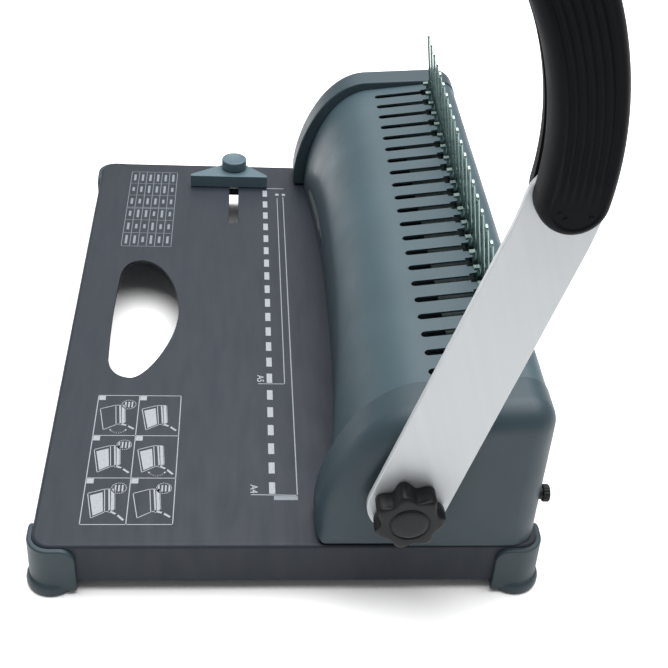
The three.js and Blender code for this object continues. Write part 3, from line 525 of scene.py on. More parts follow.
def base_plate():
    """Folded sheet pan with its openings, and a mouth for the chip tray in the left skirt."""
    plan = rounded_rectangle(BASE_LOW.x, BASE_HIGH.x, BASE_LOW.y, BASE_HIGH.y, BASE_CORNER)
    column = 1 + max(range(len(plan) - 1), key=lambda i: plan[i][1] - plan[i + 1][1])
    plan[column:column] = [(BASE_LOW.x, MOUTH_HIGH), (BASE_LOW.x, MOUTH_LOW)]
    surface = Surface()
    outer = [[(x, y, z) for x, y in plan] for z in (BASE_LOW.z, MOUTH_TOP)]
    outer += [[(x, y, TOP - drop) for x, y in offset(plan, -inset)] for inset, drop in quarter_round(FOLD, 6)]
    inner_plan = offset(plan, -SHEET)
    inner = [[(x, y, z) for x, y in inner_plan] for z in (BASE_LOW.z, MOUTH_TOP)]
    inner += [[(x, y, TOP - SHEET - drop) for x, y in offset(plan, -SHEET - inset)]
              for inset, drop in quarter_round(INNER_FOLD, 3)]
    surface.loft(outer, around=True, skip={(0, column)})
    surface.loft(inner, around=True, skip={(0, column)})
    surface.loft([outer[0], inner[0]], around=True, skip={(0, column)})
    surface.face([outer[1][column], outer[1][column + 1], inner[1][column + 1], inner[1][column]])
    for j in (column, column + 1):
        surface.face([outer[0][j], outer[1][j], inner[1][j], inner[0][j]])
    guide_slot = stadium(GUIDE_AXIS.x - GUIDE_SLOT_BEFORE, GUIDE_AXIS.x + GUIDE_TRAVEL + GUIDE_SLOT_BEYOND,
                         GUIDE_AXIS.y, GUIDE_SLOT_HALF)
    window = rounded_rectangle(DIE_LOW.x - WINDOW_GAP, DIE_HIGH.x + WINDOW_GAP,
                               WINDOW_LOW, WINDOW_HIGH, WINDOW_CORNER, 2)
    for outline in (hand_hole(), guide_slot, window):
        rows = [[(x, y, TOP - drop) for x, y in offset(outline, inset)]
                for inset, drop in reversed(quarter_round(OPENING_EDGE, 3))]
        rows.append([(x, y, TOP - SHEET) for x, y in outline])
        surface.loft(rows, around=True)
    surface.close(2, TOP)
    surface.close(2, TOP - SHEET)
    return surface.make("base_sheet", BASE_PAINT, "chassis", "base_paint", ("base_plate",))


base_plate()


# ---------- printed marks ----------
INK_LOW, INK_HIGH = TOP + 0.01, TOP + 0.05


class Print(Surface):
    """Flat marks on the base plate, each a thin film."""

    def patch(self, outline):
        rows = [[(x, y, z) for x, y in outline] for z in (INK_LOW, INK_HIGH)]
        self.loft(rows, around=True)
        self.face(rows[0])
        self.face(rows[1])

    def line(self, x0, y0, x1, y1, width=0.7):
        along = Vector((x1 - x0, y1 - y0)).normalized() * width / 2
        side = Vector((-along.y, along.x))
        a = Vector((x0, y0)) - along
        b = Vector((x1, y1)) + along
        self.patch([tuple(a - side), tuple(b - side), tuple(b + side), tuple(a + side)])

    def chain(self, points, width=0.5):
        for a, b in zip(points, points[1:]):
            self.line(*a, *b, width)

    def block(self, x0, x1, y0, y1):
        self.patch([(x0, y0), (x1, y0), (x1, y1), (x0, y1)])


HOLE_MARK_HALF = 4
THIN_LINE = 0.35
BAR_HALF = 0.75


def sheet_marks():
    """Hole marks and the two sheet-size brackets."""
    marks = Print()
    for i in range(HOLES):
        marks.block(hole_x(i) - HOLE_MARK_HALF, hole_x(i) + HOLE_MARK_HALF, -8.5, -5.5)
    for y in (1.2, 5.6):
        marks.block(-143.2, -140.6, y - 1.1, y + 1.1)
    marks.make("hole_marks", INK, "chassis", even=False)
    brackets = Print()
    brackets.line(-150, -5.2, -150, 5.4, 0.8)
    brackets.chain([(-137, 1.2), (62, 1.2), (62, -13)], 0.5)
    brackets.chain([(-138.7, 5.2), (147.9, 5.2), (147.5, -17.2)], 0.55)
    brackets.make("sheet_size_brackets", LINE_INK, "chassis", even=False)


def size_table():
    """A ruled table with plain bars in its cells."""
    table = Print()
    x0, x1, y0, y1 = -169.0, -74.0, -98.0, -67.0
    columns, rows = 6, 6
    for i in range(columns + 1):
        x = x0 + (x1 - x0) * i / columns
        table.line(x, y0, x, y1, THIN_LINE)
    for j in range(rows + 1):
        y = y0 + (y1 - y0) * j / rows
        table.line(x0, y, x1, y, THIN_LINE)
    table.line((x0 + x1) / 2 + 1.2, y0, (x0 + x1) / 2 + 1.2, y1, 0.45)
    bars = random.Random(5)
    for i in range(columns):
        for j in range(rows):
            x = x0 + (x1 - x0) * (i + 0.5) / columns
            y = y0 + (y1 - y0) * (j + 0.5) / rows
            reach = bars.uniform(2.4, 5.0)
            table.block(x - reach, x + reach, y - BAR_HALF, y + BAR_HALF)
    return table.make("size_table", GREY_INK, "chassis", even=False)


class Picture:
    """One step picture: p runs to the right along +Y and q upwards along -X, from the cell's middle."""

    def __init__(self, marks, x, y):
        self.marks = marks
        self.x = x
        self.y = y

    def at(self, p, q):
        return (self.x - q, self.y + p)

    def chain(self, points, width=0.42):
        self.marks.chain([self.at(*point) for point in points], width)

    def fill(self, points):
        self.marks.patch([self.at(*point) for point in points])

    def machine(self):
        self.chain([(-9, 7), (-6, -9.5), (0.2, -5.5), (-1.2, 10), (-9, 7)])
        self.chain([(1.0, 9.5), (2.4, -5.5)], 0.8)
        self.fill([(3.0, -4.5), (4.8, -4.0), (3.6, 10.0), (1.9, 9.6)])
        self.chain([(-1.2, 10), (3.6, 10.0), (4.8, -4.0), (0.2, -5.5)])

    def lever(self, drop):
        self.chain([(2.6, -5.0), (6.0, -6.2 - drop / 2), (9.0, -8.5 - drop)], 1.1)

    def paper(self):
        self.fill([(-7.8, 5.6), (-5.2, -8.0), (-0.6, -5.0), (-2.0, 7.8)])

    def arrow(self):
        curve = arc(1.5, -7.5, 4.4, math.pi * 1.15, math.pi * 1.85, 8)
        self.chain(curve, 0.8)

    def lens(self, bars):
        ring = arc(5.6, 10.6, 3.6, 0, 2 * math.pi, 20)
        self.chain(ring, 0.5)
        for k in range(bars):
            p = 5.6 + (k - (bars - 1) / 2) * 1.7
            self.chain([(p, 8.7), (p, 12.4)], 0.8)


def step_pictures():
    """Six step pictures in a ruled panel, with plain corner flags."""
    marks = Print()
    xs = (73.0, 104.9, 136.1, 167.5)
    ys = (-97.5, -76.0, -54.2)
    for x in xs:
        marks.line(x, ys[0], x, ys[-1], 0.45)
    for y in ys:
        marks.line(xs[0], y, xs[-1], y, 0.45)
    steps = ((False, 0, True, 3), (True, 1, False, 0), (True, 1, False, 4),
             (True, 2, True, 0), (True, 2, False, 3), (False, 0, False, 4))
    for index, (paper, drop, arrow, bars) in enumerate(steps):
        row, column = divmod(index, 2)
        marks.block(xs[row] + 0.4, xs[row] + 3.8, ys[column] + 0.4, ys[column] + 3.8)
        picture = Picture(marks, (xs[row] + xs[row + 1]) / 2 + 2, (ys[column] + ys[column + 1]) / 2)
        picture.machine()
        picture.lever(drop)
        if paper:
            picture.paper()
        if arrow:
            picture.arrow()
        if bars:
            picture.lens(bars)
    return marks.make("step_pictures", INK, "chassis", even=False)


LETTER_SIZE = 5.2
LETTER_FILM = 0.02
LETTER_BOLD = 0.05


def size_labels():
    """The two generic sheet sizes, named beside their brackets."""
    for name, text, x, y in (("label_long_sheet", "A4", 140.5, -17.6),
                             ("label_short_sheet", "A5", 54.6, -13.6)):
        curve = bpy.data.curves.new(name, "FONT")
        curve.body = text
        curve.size = LETTER_SIZE * MM
        curve.extrude = LETTER_FILM * MM
        curve.offset = LETTER_BOLD * MM
        letters = placed(name, curve)
        mesh = bpy.data.meshes.new_from_object(letters.evaluated_get(bpy.context.evaluated_depsgraph_get()))
        bpy.data.objects.remove(letters)
        mesh.transform(Matrix.Translation(((x + MID_X) * MM, y * MM, (TOP + 0.03) * MM)))
        dress(placed(name, mesh), INK, "chassis", (), even=False)


def grey_bar():
    """The stop bar at the end of the longer bracket."""
    bar = Print()
    bar.block(148.4, 151.2, -6.2, 5.4)
    return bar.make("long_sheet_bar", GREY_INK, "chassis", even=False)


sheet_marks()
size_table()
step_pictures()
size_labels()
grey_bar()


# ---------- end caps ----------
CAP_FOOT_ROUND = 1.2
TOE_RISE = 28.0
TOE_SHARE = 0.3
TAPER_FROM = 5.5
CAP_WALL = 1.8
SHAFT_OPENING = 9.0
CAP_FRONT = CAP_LOW.y
LIP = TOP + PAPER_GAP


def cap_outline(inset, taper):
    """Open outline of a cap as (y, z), from its front toe over the top to its rear foot.

    With taper, the rounded edge narrows towards the toe.
    """
    toe = arc(CAP_FRONT + CAP_FOOT_ROUND, LIP + CAP_FOOT_ROUND, CAP_FOOT_ROUND, -QUARTER, -2 * QUARTER, 5)
    rise = cubic((CAP_FRONT, 42), (14.5, 66), (30, 106), (58, 108), 40)
    rear_y = CAP_HIGH.y - REAR_ROUND
    turn = arc(rear_y, CAP_HIGH.z - REAR_ROUND, REAR_ROUND, QUARTER, 0, 16)
    over = [(CAP_FRONT, LIP + 4), (CAP_FRONT, 38)] + rise + turn
    full = offset(over + [(CAP_HIGH.y, 40)], -inset, closed=False, side=-1)[:-1]
    line = []
    for (y, z), (inner_y, inner_z) in zip(over, full):
        near = min(1.0, max(0.0, (z - LIP) / TOE_RISE)) if y < THROAT_STEP else 1.0
        share = TOE_SHARE + (1 - TOE_SHARE) * near * (2 - near) if taper else 1.0
        line.append((y + (inner_y - y) * share, z + (inner_z - z) * share))
    toe = [(y + (TOE_SHARE if taper else 1.0) * inset, z) for y, z in toe]
    return toe + line + [(CAP_HIGH.y - inset, CAP_LOW.z)]


def end_cap(name, sign, node, shaft_opening):
    """A moulded cap with a broad rounded edge, on the right (sign 1) or on the left (sign -1)."""
    inner_x, outer_x = CAP_LOW.x, CAP_HIGH.x
    sections = [(inner_x, inset) for inset in (9.0, 5.0, 1.0)]
    sections += [(inner_x + 1 - math.sin(a), 1 - math.cos(a))
                 for a in (QUARTER * k / 4 for k in (3, 2, 1, 0))]
    sections += [(inner_x + 5, 0.0), (outer_x - CAP_ROUND, 0.0)]
    sections += [(outer_x - CAP_ROUND + CAP_ROUND * math.sin(a), CAP_ROUND * (1 - math.cos(a)))
                 for a in (QUARTER * k / 18 for k in range(1, 19))]
    lines = [[(sign * x, y, z) for y, z in cap_outline(inset, x > inner_x + TAPER_FROM)]
             for x, inset in sections]
    surface = Surface()
    surface.loft(lines)
    side_x = sign * outer_x
    surface.wire([lines[-1][-1], (side_x, THROAT_STEP, CAP_LOW.z), (side_x, THROAT_STEP, LIP), lines[-1][0]])
    if shaft_opening:
        surface.wire([(side_x, y, z) for y, z in arc(PIVOT.y, PIVOT.z, SHAFT_OPENING, 0, 2 * math.pi, 40)])
    surface.close(0, side_x)
    # The cap's plastic is the cover plastic darkened as painted shade
    return surface.make(name, SHADED_COVER_PLASTIC, "chassis", "cover_plastic", (node,), crease=40, wall=CAP_WALL)


end_cap("end_cap_near", 1, "end_cap_right", True)
end_cap("end_cap_far", -1, "end_cap_left", False)


# ---------- front cover ----------
COLUMNS_PER_CELL = 6
COVER_FACE = 19.5
PANEL_FRONT = -3.0
SCOOP_MIDDLE = 28.2
SCOOP_REACH = 9.0
SCOOP_POWER = 2.6
SCOOP_AT = 150.0
SCOOP_BLEND = 1.6
SCOOP_FADE = 8
EASE = 0.35


def scoop_line(x):
    return SCOOP_MIDDLE - SCOOP_REACH * (abs(x) / SCOOP_AT) ** SCOOP_POWER


def scooped(x, y):
    """The cover's front, pressed back to the scoop with a soft crease."""
    gap = y - scoop_line(x)
    return y if gap > SCOOP_FADE else (y + scoop_line(x) + math.sqrt(gap * gap + SCOOP_BLEND ** 2)) / 2


def cover_columns():
    """Values of x for the cover's mesh, closer together at its ends."""
    edge = HOLES * PITCH / 2
    inside = [hole_x(i) - PITCH / 2 + PITCH * k / COLUMNS_PER_CELL
              for i in range(HOLES) for k in range(COLUMNS_PER_CELL)]
    low, high = COVER_LOW.x, COVER_HIGH.x
    return [low, low + 0.5, low + 2] + inside + [edge, high - 2, high - 0.5, high]


def slot_path(x, grow):
    """Edge of one slot and its notch as (x, u), from the back right round to the back left."""
    corner = [(NOTCH_HALF, SLOT_END), (NOTCH_HALF, SLOT_LENGTH), (SLOT_HALF, SLOT_LENGTH)]
    nose = arc(0, SLOT_HALF, SLOT_HALF, 0, -math.pi, 12)
    path = corner + nose + [(-p, u) for p, u in reversed(corner)]
    moved = offset(path, grow, closed=False, side=1) if grow else path
    moved[0] = (NOTCH_HALF + grow, SLOT_END)
    moved[-1] = (-NOTCH_HALF - grow, SLOT_END)
    return [(x + p, u) for p, u in moved]


def front_cover():
    """Curved front with its scoop, and the slotted panel on its slope."""
    surface = Surface()
    columns = cover_columns()
    panel = slope_point(PANEL_FRONT, 0)
    lead = slope_point(PANEL_FRONT - 26, 0)
    rise = cubic((COVER_FACE, 36), (21, 62), tuple(lead), tuple(panel), 64)
    profile = [(COVER_FACE + 0.25, LIP), (COVER_FACE, LIP + 0.4), (COVER_FACE, LIP + 2)] + rise
    outer = [[(x, scooped(x, y), z) for x in columns] for y, z in profile]
    inner = []
    for i, (y, z) in enumerate(profile):
        before = profile[max(0, i - 1)]
        after = profile[min(len(profile) - 1, i + 1)]
        row = []
        for x in columns:
            here = Vector((scooped(x, y), z))
            along = Vector((scooped(x, after[0]), after[1])) - Vector((scooped(x, before[0]), before[1]))
            along.normalize()
            inward = Vector((along.y, -along.x))
            if i == 0:
                inward = Vector((1, 0))
            if i == len(profile) - 1:
                inward = Vector((math.sin(SLOPE), -math.cos(SLOPE)))
            moved = here + inward * (PANEL if i == len(profile) - 1 else SHELL)
            row.append((x, moved.x, max(moved.y, LIP)))
        inner.append(row)
    surface.loft(outer)
    surface.loft(inner)
    surface.loft([outer[0], inner[0]])
    for j in (0, -1):
        surface.loft([[row[j] for row in outer], [row[j] for row in inner]])

    def cell(left, right, xs, path):
        """Top, underside and back edge of one stretch of the slotted panel."""
        for depth in (0.0, -PANEL):
            ring = [on_slope((x, depth), PANEL_FRONT) for x in xs]
            ring.append(on_slope((right, depth), SLOT_END))
            if path is not None:
                rim = slot_path(path, EASE if depth == 0.0 else 0.0)
                ring += [on_slope((x, depth), u) for x, u in rim]
            ring.append(on_slope((left, depth), SLOT_END))
            surface.face(ring)

    for i in range(HOLES):
        left = hole_x(i) - PITCH / 2
        right = left + PITCH
        xs = [left + PITCH * k / COLUMNS_PER_CELL for k in range(COLUMNS_PER_CELL + 1)]
        middle = hole_x(i)
        cell(left, right, xs, middle)
        rows = []
        for inset, drop in reversed(quarter_round(EASE, 3)):
            rows.append([on_slope((x, -drop), u) for x, u in slot_path(middle, inset)])
        rows.append([on_slope((x, -PANEL), u) for x, u in slot_path(middle, 0)])
        surface.loft(rows)
        for near, far, way in ((middle - NOTCH_HALF, left, -1), (middle + NOTCH_HALF, right, 1)):
            eased_edge = [on_slope((near + way * inset, -drop), SLOT_END)
                          for inset, drop in reversed(quarter_round(EASE, 3))]
            surface.face([*eased_edge, on_slope((near, -PANEL), SLOT_END), on_slope((far, -PANEL), SLOT_END),
                          on_slope((far, 0), SLOT_END)])
    for side in (columns[:4], columns[-4:]):
        xs = list(side)
        cell(xs[0], xs[-1], xs, None)
        surface.face([on_slope((xs[0], 0), SLOT_END), on_slope((xs[-1], 0), SLOT_END),
                      on_slope((xs[-1], -PANEL), SLOT_END), on_slope((xs[0], -PANEL), SLOT_END)])
        x = xs[0] if side[0] < 0 else xs[-1]
        surface.face([on_slope((x, 0), PANEL_FRONT), on_slope((x, 0), SLOT_END),
                      on_slope((x, -PANEL), SLOT_END), on_slope((x, -PANEL), PANEL_FRONT)])
    return surface.make("slotted_cover", COVER_PLASTIC, "chassis", "cover_plastic", ("front_cover",),
                        crease=28)


front_cover()


def badge(name, start, end, low, high, lift, material):
    """A plain foil plate with an arched top that follows the scoop at its far end."""
    plate = Surface()
    steps = 24
    xs = [start + (end - start) * k / steps for k in range(steps + 1)]
    arch = [high * math.sin(math.pi * (k + 2) / (steps + 4)) ** 0.6 for k in range(steps + 1)]
    front = []
    for share in (0.0, 0.25, 0.5, 0.75, 1.0):
        row = []
        for x, rise in zip(xs, arch):
            z = LIP + low + rise * share
            row.append((x, scooped(x, COVER_LOW.y + max(0.0, z - 36) * 0.06) - lift, z))
        front.append(row)
    back = [[(x, y + 0.2, z) for x, y, z in row] for row in front]
    plate.loft(front)
    plate.loft(back)
    plate.loft([front[0], back[0]])
    plate.loft([front[-1], back[-1]])
    for j in (0, -1):
        plate.loft([[row[j] for row in front], [row[j] for row in back]])
    return plate.make(name, material, "chassis")


badge("plain_badge", start=-138, end=-70, low=5, high=10.5, lift=0.25, material=BADGE)
badge("badge_panel", start=-130, end=-80, low=7, high=6.5, lift=0.33, material=BADGE_PANEL)


# ---------- rear cover ----------
REAR_EDGE = 38.0
SHELL_ROUND = 11.0


def rear_cover():
    """Rear shell: a thin wall that turns from the top down to the base."""
    edge = slope_point(REAR_EDGE, 0)
    turn = arc(REAR_HIGH.y - SHELL_ROUND, REAR_HIGH.z - SHELL_ROUND, SHELL_ROUND, QUARTER, 0, 18)
    outer = [tuple(edge), *turn, (REAR_HIGH.y, REAR_LOW.z)]
    inner = offset(outer, -SHELL, closed=False, side=-1)
    inner[-1] = (REAR_HIGH.y - SHELL, REAR_LOW.z)
    surface = Surface()
    surface.prism(outer + inner[::-1], REAR_LOW.x, REAR_HIGH.x, 0.45, across_x)
    return surface.make("rear_shell", COVER_PLASTIC, "chassis", "cover_plastic", ("rear_cover",))


rear_cover()


# ---------- comb of prongs ----------
def prongs():
    """Upright teeth with round tips on one strip."""
    surface = Surface()
    half, height, root = PRONG["half"], PRONG["height"], PRONG["root"]
    back = PRONG["front"] + PRONG["thick"]
    for i in range(HOLES):
        x = hole_x(i)
        outline = [(x - half, root - 1), (x + half, root - 1)] + arc(x, height - half, half, 0, math.pi, 14)
        surface.prism(outline, PRONG["front"], back, 0.35, on_slope)
    strip = [(COMB_LOW.x, PRONG["foot"]), (COMB_HIGH.x, PRONG["foot"]),
             (COMB_HIGH.x, root), (COMB_LOW.x, root)]
    surface.prism(strip, PRONG["front"] + 0.02, back - 0.02, 0.3, on_slope)
    return surface.make("prong_comb", ZINC, "chassis", "zinc_plate", ("fixed_comb",))


prongs()


# ---------- lever ----------
def lever_point(s):
    """Point (y, z) and heading on the lever's centre line, s millimetres from the pivot."""
    straight = min(s, LEVER_STRAIGHT)
    turn = max(0.0, s - LEVER_STRAIGHT) / LEVER_BEND
    heading = LEVER_LEAN + turn
    y = PIVOT.y + straight * math.cos(LEVER_LEAN) + LEVER_BEND * (math.sin(heading) - math.sin(LEVER_LEAN))
    z = PIVOT.z + straight * math.sin(LEVER_LEAN) + LEVER_BEND * (math.cos(LEVER_LEAN) - math.cos(heading))
    return y, z, heading


def lever_outline(start, end, half, steps, end_steps=20):
    """Marks round a strap with round ends: centre y and z, direction, half width and place s along it."""
    def mark(s, angle):
        y, z, heading = lever_point(s)
        return y, z, heading + angle, half(s), s

    along = [start + (end - start) * i / steps for i in range(1, steps)]
    turns = [math.pi * k / end_steps for k in range(end_steps + 1)]
    return ([mark(start, QUARTER + turn) for turn in turns] + [mark(s, -QUARTER) for s in along]
            + [mark(end, turn - QUARTER) for turn in turns] + [mark(s, QUARTER) for s in reversed(along)])


STRAP_HALF = 18
STRAP_TAPER = 2.1
STRAP_TUCK = 4.2
TUCK_LENGTH = 9


def lever_bar():
    """Flat strap of satin metal that narrows a little towards the grip, and more inside it."""
    def half(s):
        tuck = min(1, max(0, (s - GRIP_FROM + 1) / TUCK_LENGTH))
        return STRAP_HALF - STRAP_TAPER * min(1, s / GRIP_FROM) - STRAP_TUCK * tuck

    outline = [(y + w * math.cos(a), z + w * math.sin(a))
               for y, z, a, w, _ in lever_outline(0, GRIP_TO - 2, half, 60)]
    surface = Surface()
    surface.prism(outline, LEVER_LOW.x, LEVER_HIGH.x, 0.55, across_x)
    return surface.make("lever_strap", LEVER_SILVER, "lever", "lever_silver", ("lever_bar",))


lever_bar()

GRIP_THICK = GRIP_HIGH.x - GRIP_LOW.x
GRIP_RIM = 0.12
GRIP_RINGS = 42
GRIP_BEAD = 4.4
RIB_PITCH = 3.1
RIB_HEIGHT = 0.42


def grip_height(depth, across, s):
    """Height of the grip over its flat back, at a depth in from its outline.

    It has a rounded border bead, a groove, and lengthwise ribs that fade out towards the ends.
    """
    share = min(1.0, depth / GRIP_BEAD)
    height = GRIP_THICK * (GRIP_RIM + (1 - GRIP_RIM) * math.sqrt(max(0.0, 1 - (1 - share) ** 2.2)))
    if depth <= 0:
        height = GRIP_THICK * GRIP_RIM
    panel = min(1.0, max(0.0, (depth - GRIP_BEAD) / 1.3))
    height -= 0.3 * math.exp(-((depth - GRIP_BEAD - 0.6) / 0.5) ** 2) + 0.4 * panel
    ends = min(s - GRIP_FROM, GRIP_TO - s)
    fade = min(1.0, max(0.0, (ends + 2) / 16))
    ribs = RIB_HEIGHT * math.cos(2 * math.pi * across / RIB_PITCH) - RIB_HEIGHT
    return height + panel * fade * fade * (3 - 2 * fade) * ribs


def grip_shell(name, node, face_x, side):
    """Half of the grip, from its flat back on the lever to its ribbed front."""
    surface = Surface()
    marks = lever_outline(GRIP_FROM, GRIP_TO, lambda s: GRIP_HALF, 90, 32)
    rows = [[(face_x, y + w * math.cos(a), z + w * math.sin(a)) for y, z, a, w, _ in marks]]
    for ring in range(GRIP_RINGS + 1):
        row = []
        for y, z, a, w, s in marks:
            _, _, heading = lever_point(s)
            reach = w * (1 - ring / GRIP_RINGS)
            across = reach * math.sin(a - heading)
            along = reach * math.cos(a - heading)
            height = grip_height(w - reach, across, s + along)
            row.append((face_x + side * height, y + reach * math.cos(a), z + reach * math.sin(a)))
        rows.append(row)
    surface.loft(rows, around=True)
    surface.face(rows[0])
    return surface.make(name, GRIP_PLASTIC, "lever", "grip_black", (node,), crease=50, even=False)


grip_shell("grip_outer_half", "grip_shell_outer", GRIP_LOW.x, 1)
grip_shell("grip_inner_half", "grip_shell_inner", GRIP_INNER_HIGH.x, -1)


def grip_pips():
    """Three moulded pips near the lower end of the outer half."""
    surface = Surface()
    y0, z0, heading = lever_point(GRIP_FROM)
    for along, across in ((-3.5, 5.6), (-5.4, 2.8), (-3.5, -6.6)):
        y = y0 + along * math.cos(heading) - across * math.sin(heading)
        z = z0 + along * math.sin(heading) + across * math.cos(heading)
        depth = GRIP_HALF - math.hypot(along, across)
        face = GRIP_LOW.x + grip_height(depth, across, GRIP_FROM + along)
        profile = [(0.85, face - 0.3), (0.85, face + 0.15), (0.7, face + 0.4), (0.4, face + 0.52),
                   (0.02, face + 0.55)]
        surface.turned(profile, lambda a, r, h, y=y, z=z: (h, y + r * math.cos(a), z + r * math.sin(a)), 20)
    return surface.make("grip_pips", GRIP_PLASTIC, "lever", "grip_black", even=False)


grip_pips()


# ---------- star knob ----------
def star_knob():
    """Lobed clamping knob with a ring groove and a low dome in its face."""
    lobes, wave, radius = 7, 1.9, 16.4
    inner, outer = KNOB_LOW.x, KNOB_HIGH.x - 0.8
    profile = [(0.02, inner, 0), (10, inner, 0.4 * wave), (radius - 1.2, inner, wave),
               (radius - 0.4, inner + 0.4, wave), (radius, inner + 1.4, wave), (radius, outer - 3.4, wave)]
    profile += [(radius - 0.4 - inset * 1.5, outer - drop, (1 - 0.1 * k) * wave)
                for k, (inset, drop) in enumerate(quarter_round(2.0, 7))]
    profile += [(11.2, outer, 0.12 * wave), (9.6, outer, 0.0), (9.2, outer - 0.1, 0), (8.9, outer - 0.45, 0),
                (8.5, outer - 0.45, 0), (8.2, outer - 0.05, 0), (7.7, outer + 0.35, 0),
                (6.0, outer + 0.6, 0), (3.5, outer + 0.75, 0), (0.02, outer + 0.8, 0)]
    surface = Surface()
    surface.turned(profile, lambda a, r, h: (h, PIVOT.y + r * math.cos(a), PIVOT.z + r * math.sin(a)),
                   lobes * 24, lobes)
    return surface.make("clamp_knob_body", KNOB_PLASTIC, "clamp_knob", "grip_black", ("star_knob",),
                        crease=45, even=False)


star_knob()


# ---------- paper guide ----------
def paper_guide():
    """Low triangular fence with a straight face along the sheet's edge, and its round knob."""
    nose = arc(GUIDE_AXIS.x, GUIDE_AXIS.y, 9.6, math.pi * 0.62, math.pi * 1.38, 22)
    back = GUIDE_HIGH.x - 2.5
    outline = [(GUIDE_HIGH.x, GUIDE_LOW.y), (GUIDE_HIGH.x, GUIDE_HIGH.y), (back, GUIDE_HIGH.y),
               *nose, (back, GUIDE_LOW.y)]
    surface = Surface()
    surface.prism(outline, GUIDE_LOW.z, GUIDE_HIGH.z, 0.5, in_plan)
    surface.make("edge_fence", GUIDE_PLASTIC, "edge_guide", "guide_plastic", ("paper_guide",))
    knob = Surface()
    low, high, r = GUIDE_KNOB_LOW.z, GUIDE_KNOB_HIGH.z, 8.4
    profile = [(0.02, low), (r - 0.6, low), (r - 0.1, low + 0.4), (r, low + 1)]
    profile += [(r - inset, high - drop) for inset, drop in quarter_round(0.9, 5)]
    profile += [(r - 1.6, high), (r - 2.0, high - 0.25), (0.02, high - 0.3)]
    knob.turned(profile, lambda a, d, h: (GUIDE_AXIS.x + d * math.cos(a),
                                          GUIDE_AXIS.y + d * math.sin(a), h))
    knob.make("fence_knob", GUIDE_PLASTIC, "guide_knob_body", "guide_plastic", ("guide_knob",), even=False)


paper_guide()

# ---------- return springs ----------
WIRE = 0.6
TURNS = 5
TURN_STEPS = 28
WIRE_SIDES = 10


def return_spring(side):
    """Coil spring with closed ends, at the length of its CAD node; it is not pressed shorter as the punch bar
    comes down.
    """
    node = f"return_spring_{side}"
    low, high = box(node)
    cx, cy = (low.x + high.x) / 2, (low.y + high.y) / 2
    reach = (high.x - low.x) / 2 - WIRE
    height = high.z - low.z
    steps = TURNS * TURN_STEPS
    rows = []
    for k in range(steps + 1):
        angle = 2 * math.pi * TURNS * k / steps
        z = low.z + WIRE + (height - 2 * WIRE) * k / steps
        out = (math.cos(angle), math.sin(angle))
        rows.append([(cx + (reach + WIRE * math.cos(t)) * out[0], cy + (reach + WIRE * math.cos(t)) * out[1],
                      z + WIRE * math.sin(t))
                     for t in (2 * math.pi * j / WIRE_SIDES for j in range(WIRE_SIDES))])
    surface = Surface()
    surface.loft(rows, around=True)
    surface.face(rows[0])
    surface.face(rows[-1])
    coil = surface.make(f"coil_{side}", SPRING_WIRE, "chassis", "spring_wire", (node,), even=False)
    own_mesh(coil)


return_spring("left")
return_spring("right")

# ---------- eased pieces ----------
eased("chip_tray", "chip_drawer", TRAY_PLASTIC, "tray", 0.5)
# The hook slide's zinc carries painted shade where it lies under the slope
eased("opener_slide", "hook_slide", hook_metal(), "opener", 0.2, 2)


# ---------- corner boots ----------
BOOT_PROUD = 2.4
BOOT_REACH = 20.5
BOOT_TOP = 28.6
BOOT_TOP_ROUND = 7.0
BOOT_LOW = 3.0
BOOT_EDGE = 1.1
BOOT_END = 0.8
PAD_RADIUS = 12.6
PAD_PROUD = 4.2
PAD_TOP = 7.0


def boot_path(distance):
    """Point and outward direction on the base's +X +Y corner, at a distance along it from the +X side."""
    flat = BOOT_REACH - BASE_CORNER
    turn = BASE_CORNER * QUARTER
    cx, cy = BASE_HIGH.x - BASE_CORNER, BASE_HIGH.y - BASE_CORNER
    if distance < flat:
        return (BASE_HIGH.x, cy - flat + distance), (1, 0)
    if distance > flat + turn:
        return (cx - (distance - flat - turn), BASE_HIGH.y), (0, 1)
    angle = (distance - flat) / BASE_CORNER
    out = (math.cos(angle), math.sin(angle))
    return (cx + BASE_CORNER * out[0], cy + BASE_CORNER * out[1]), out


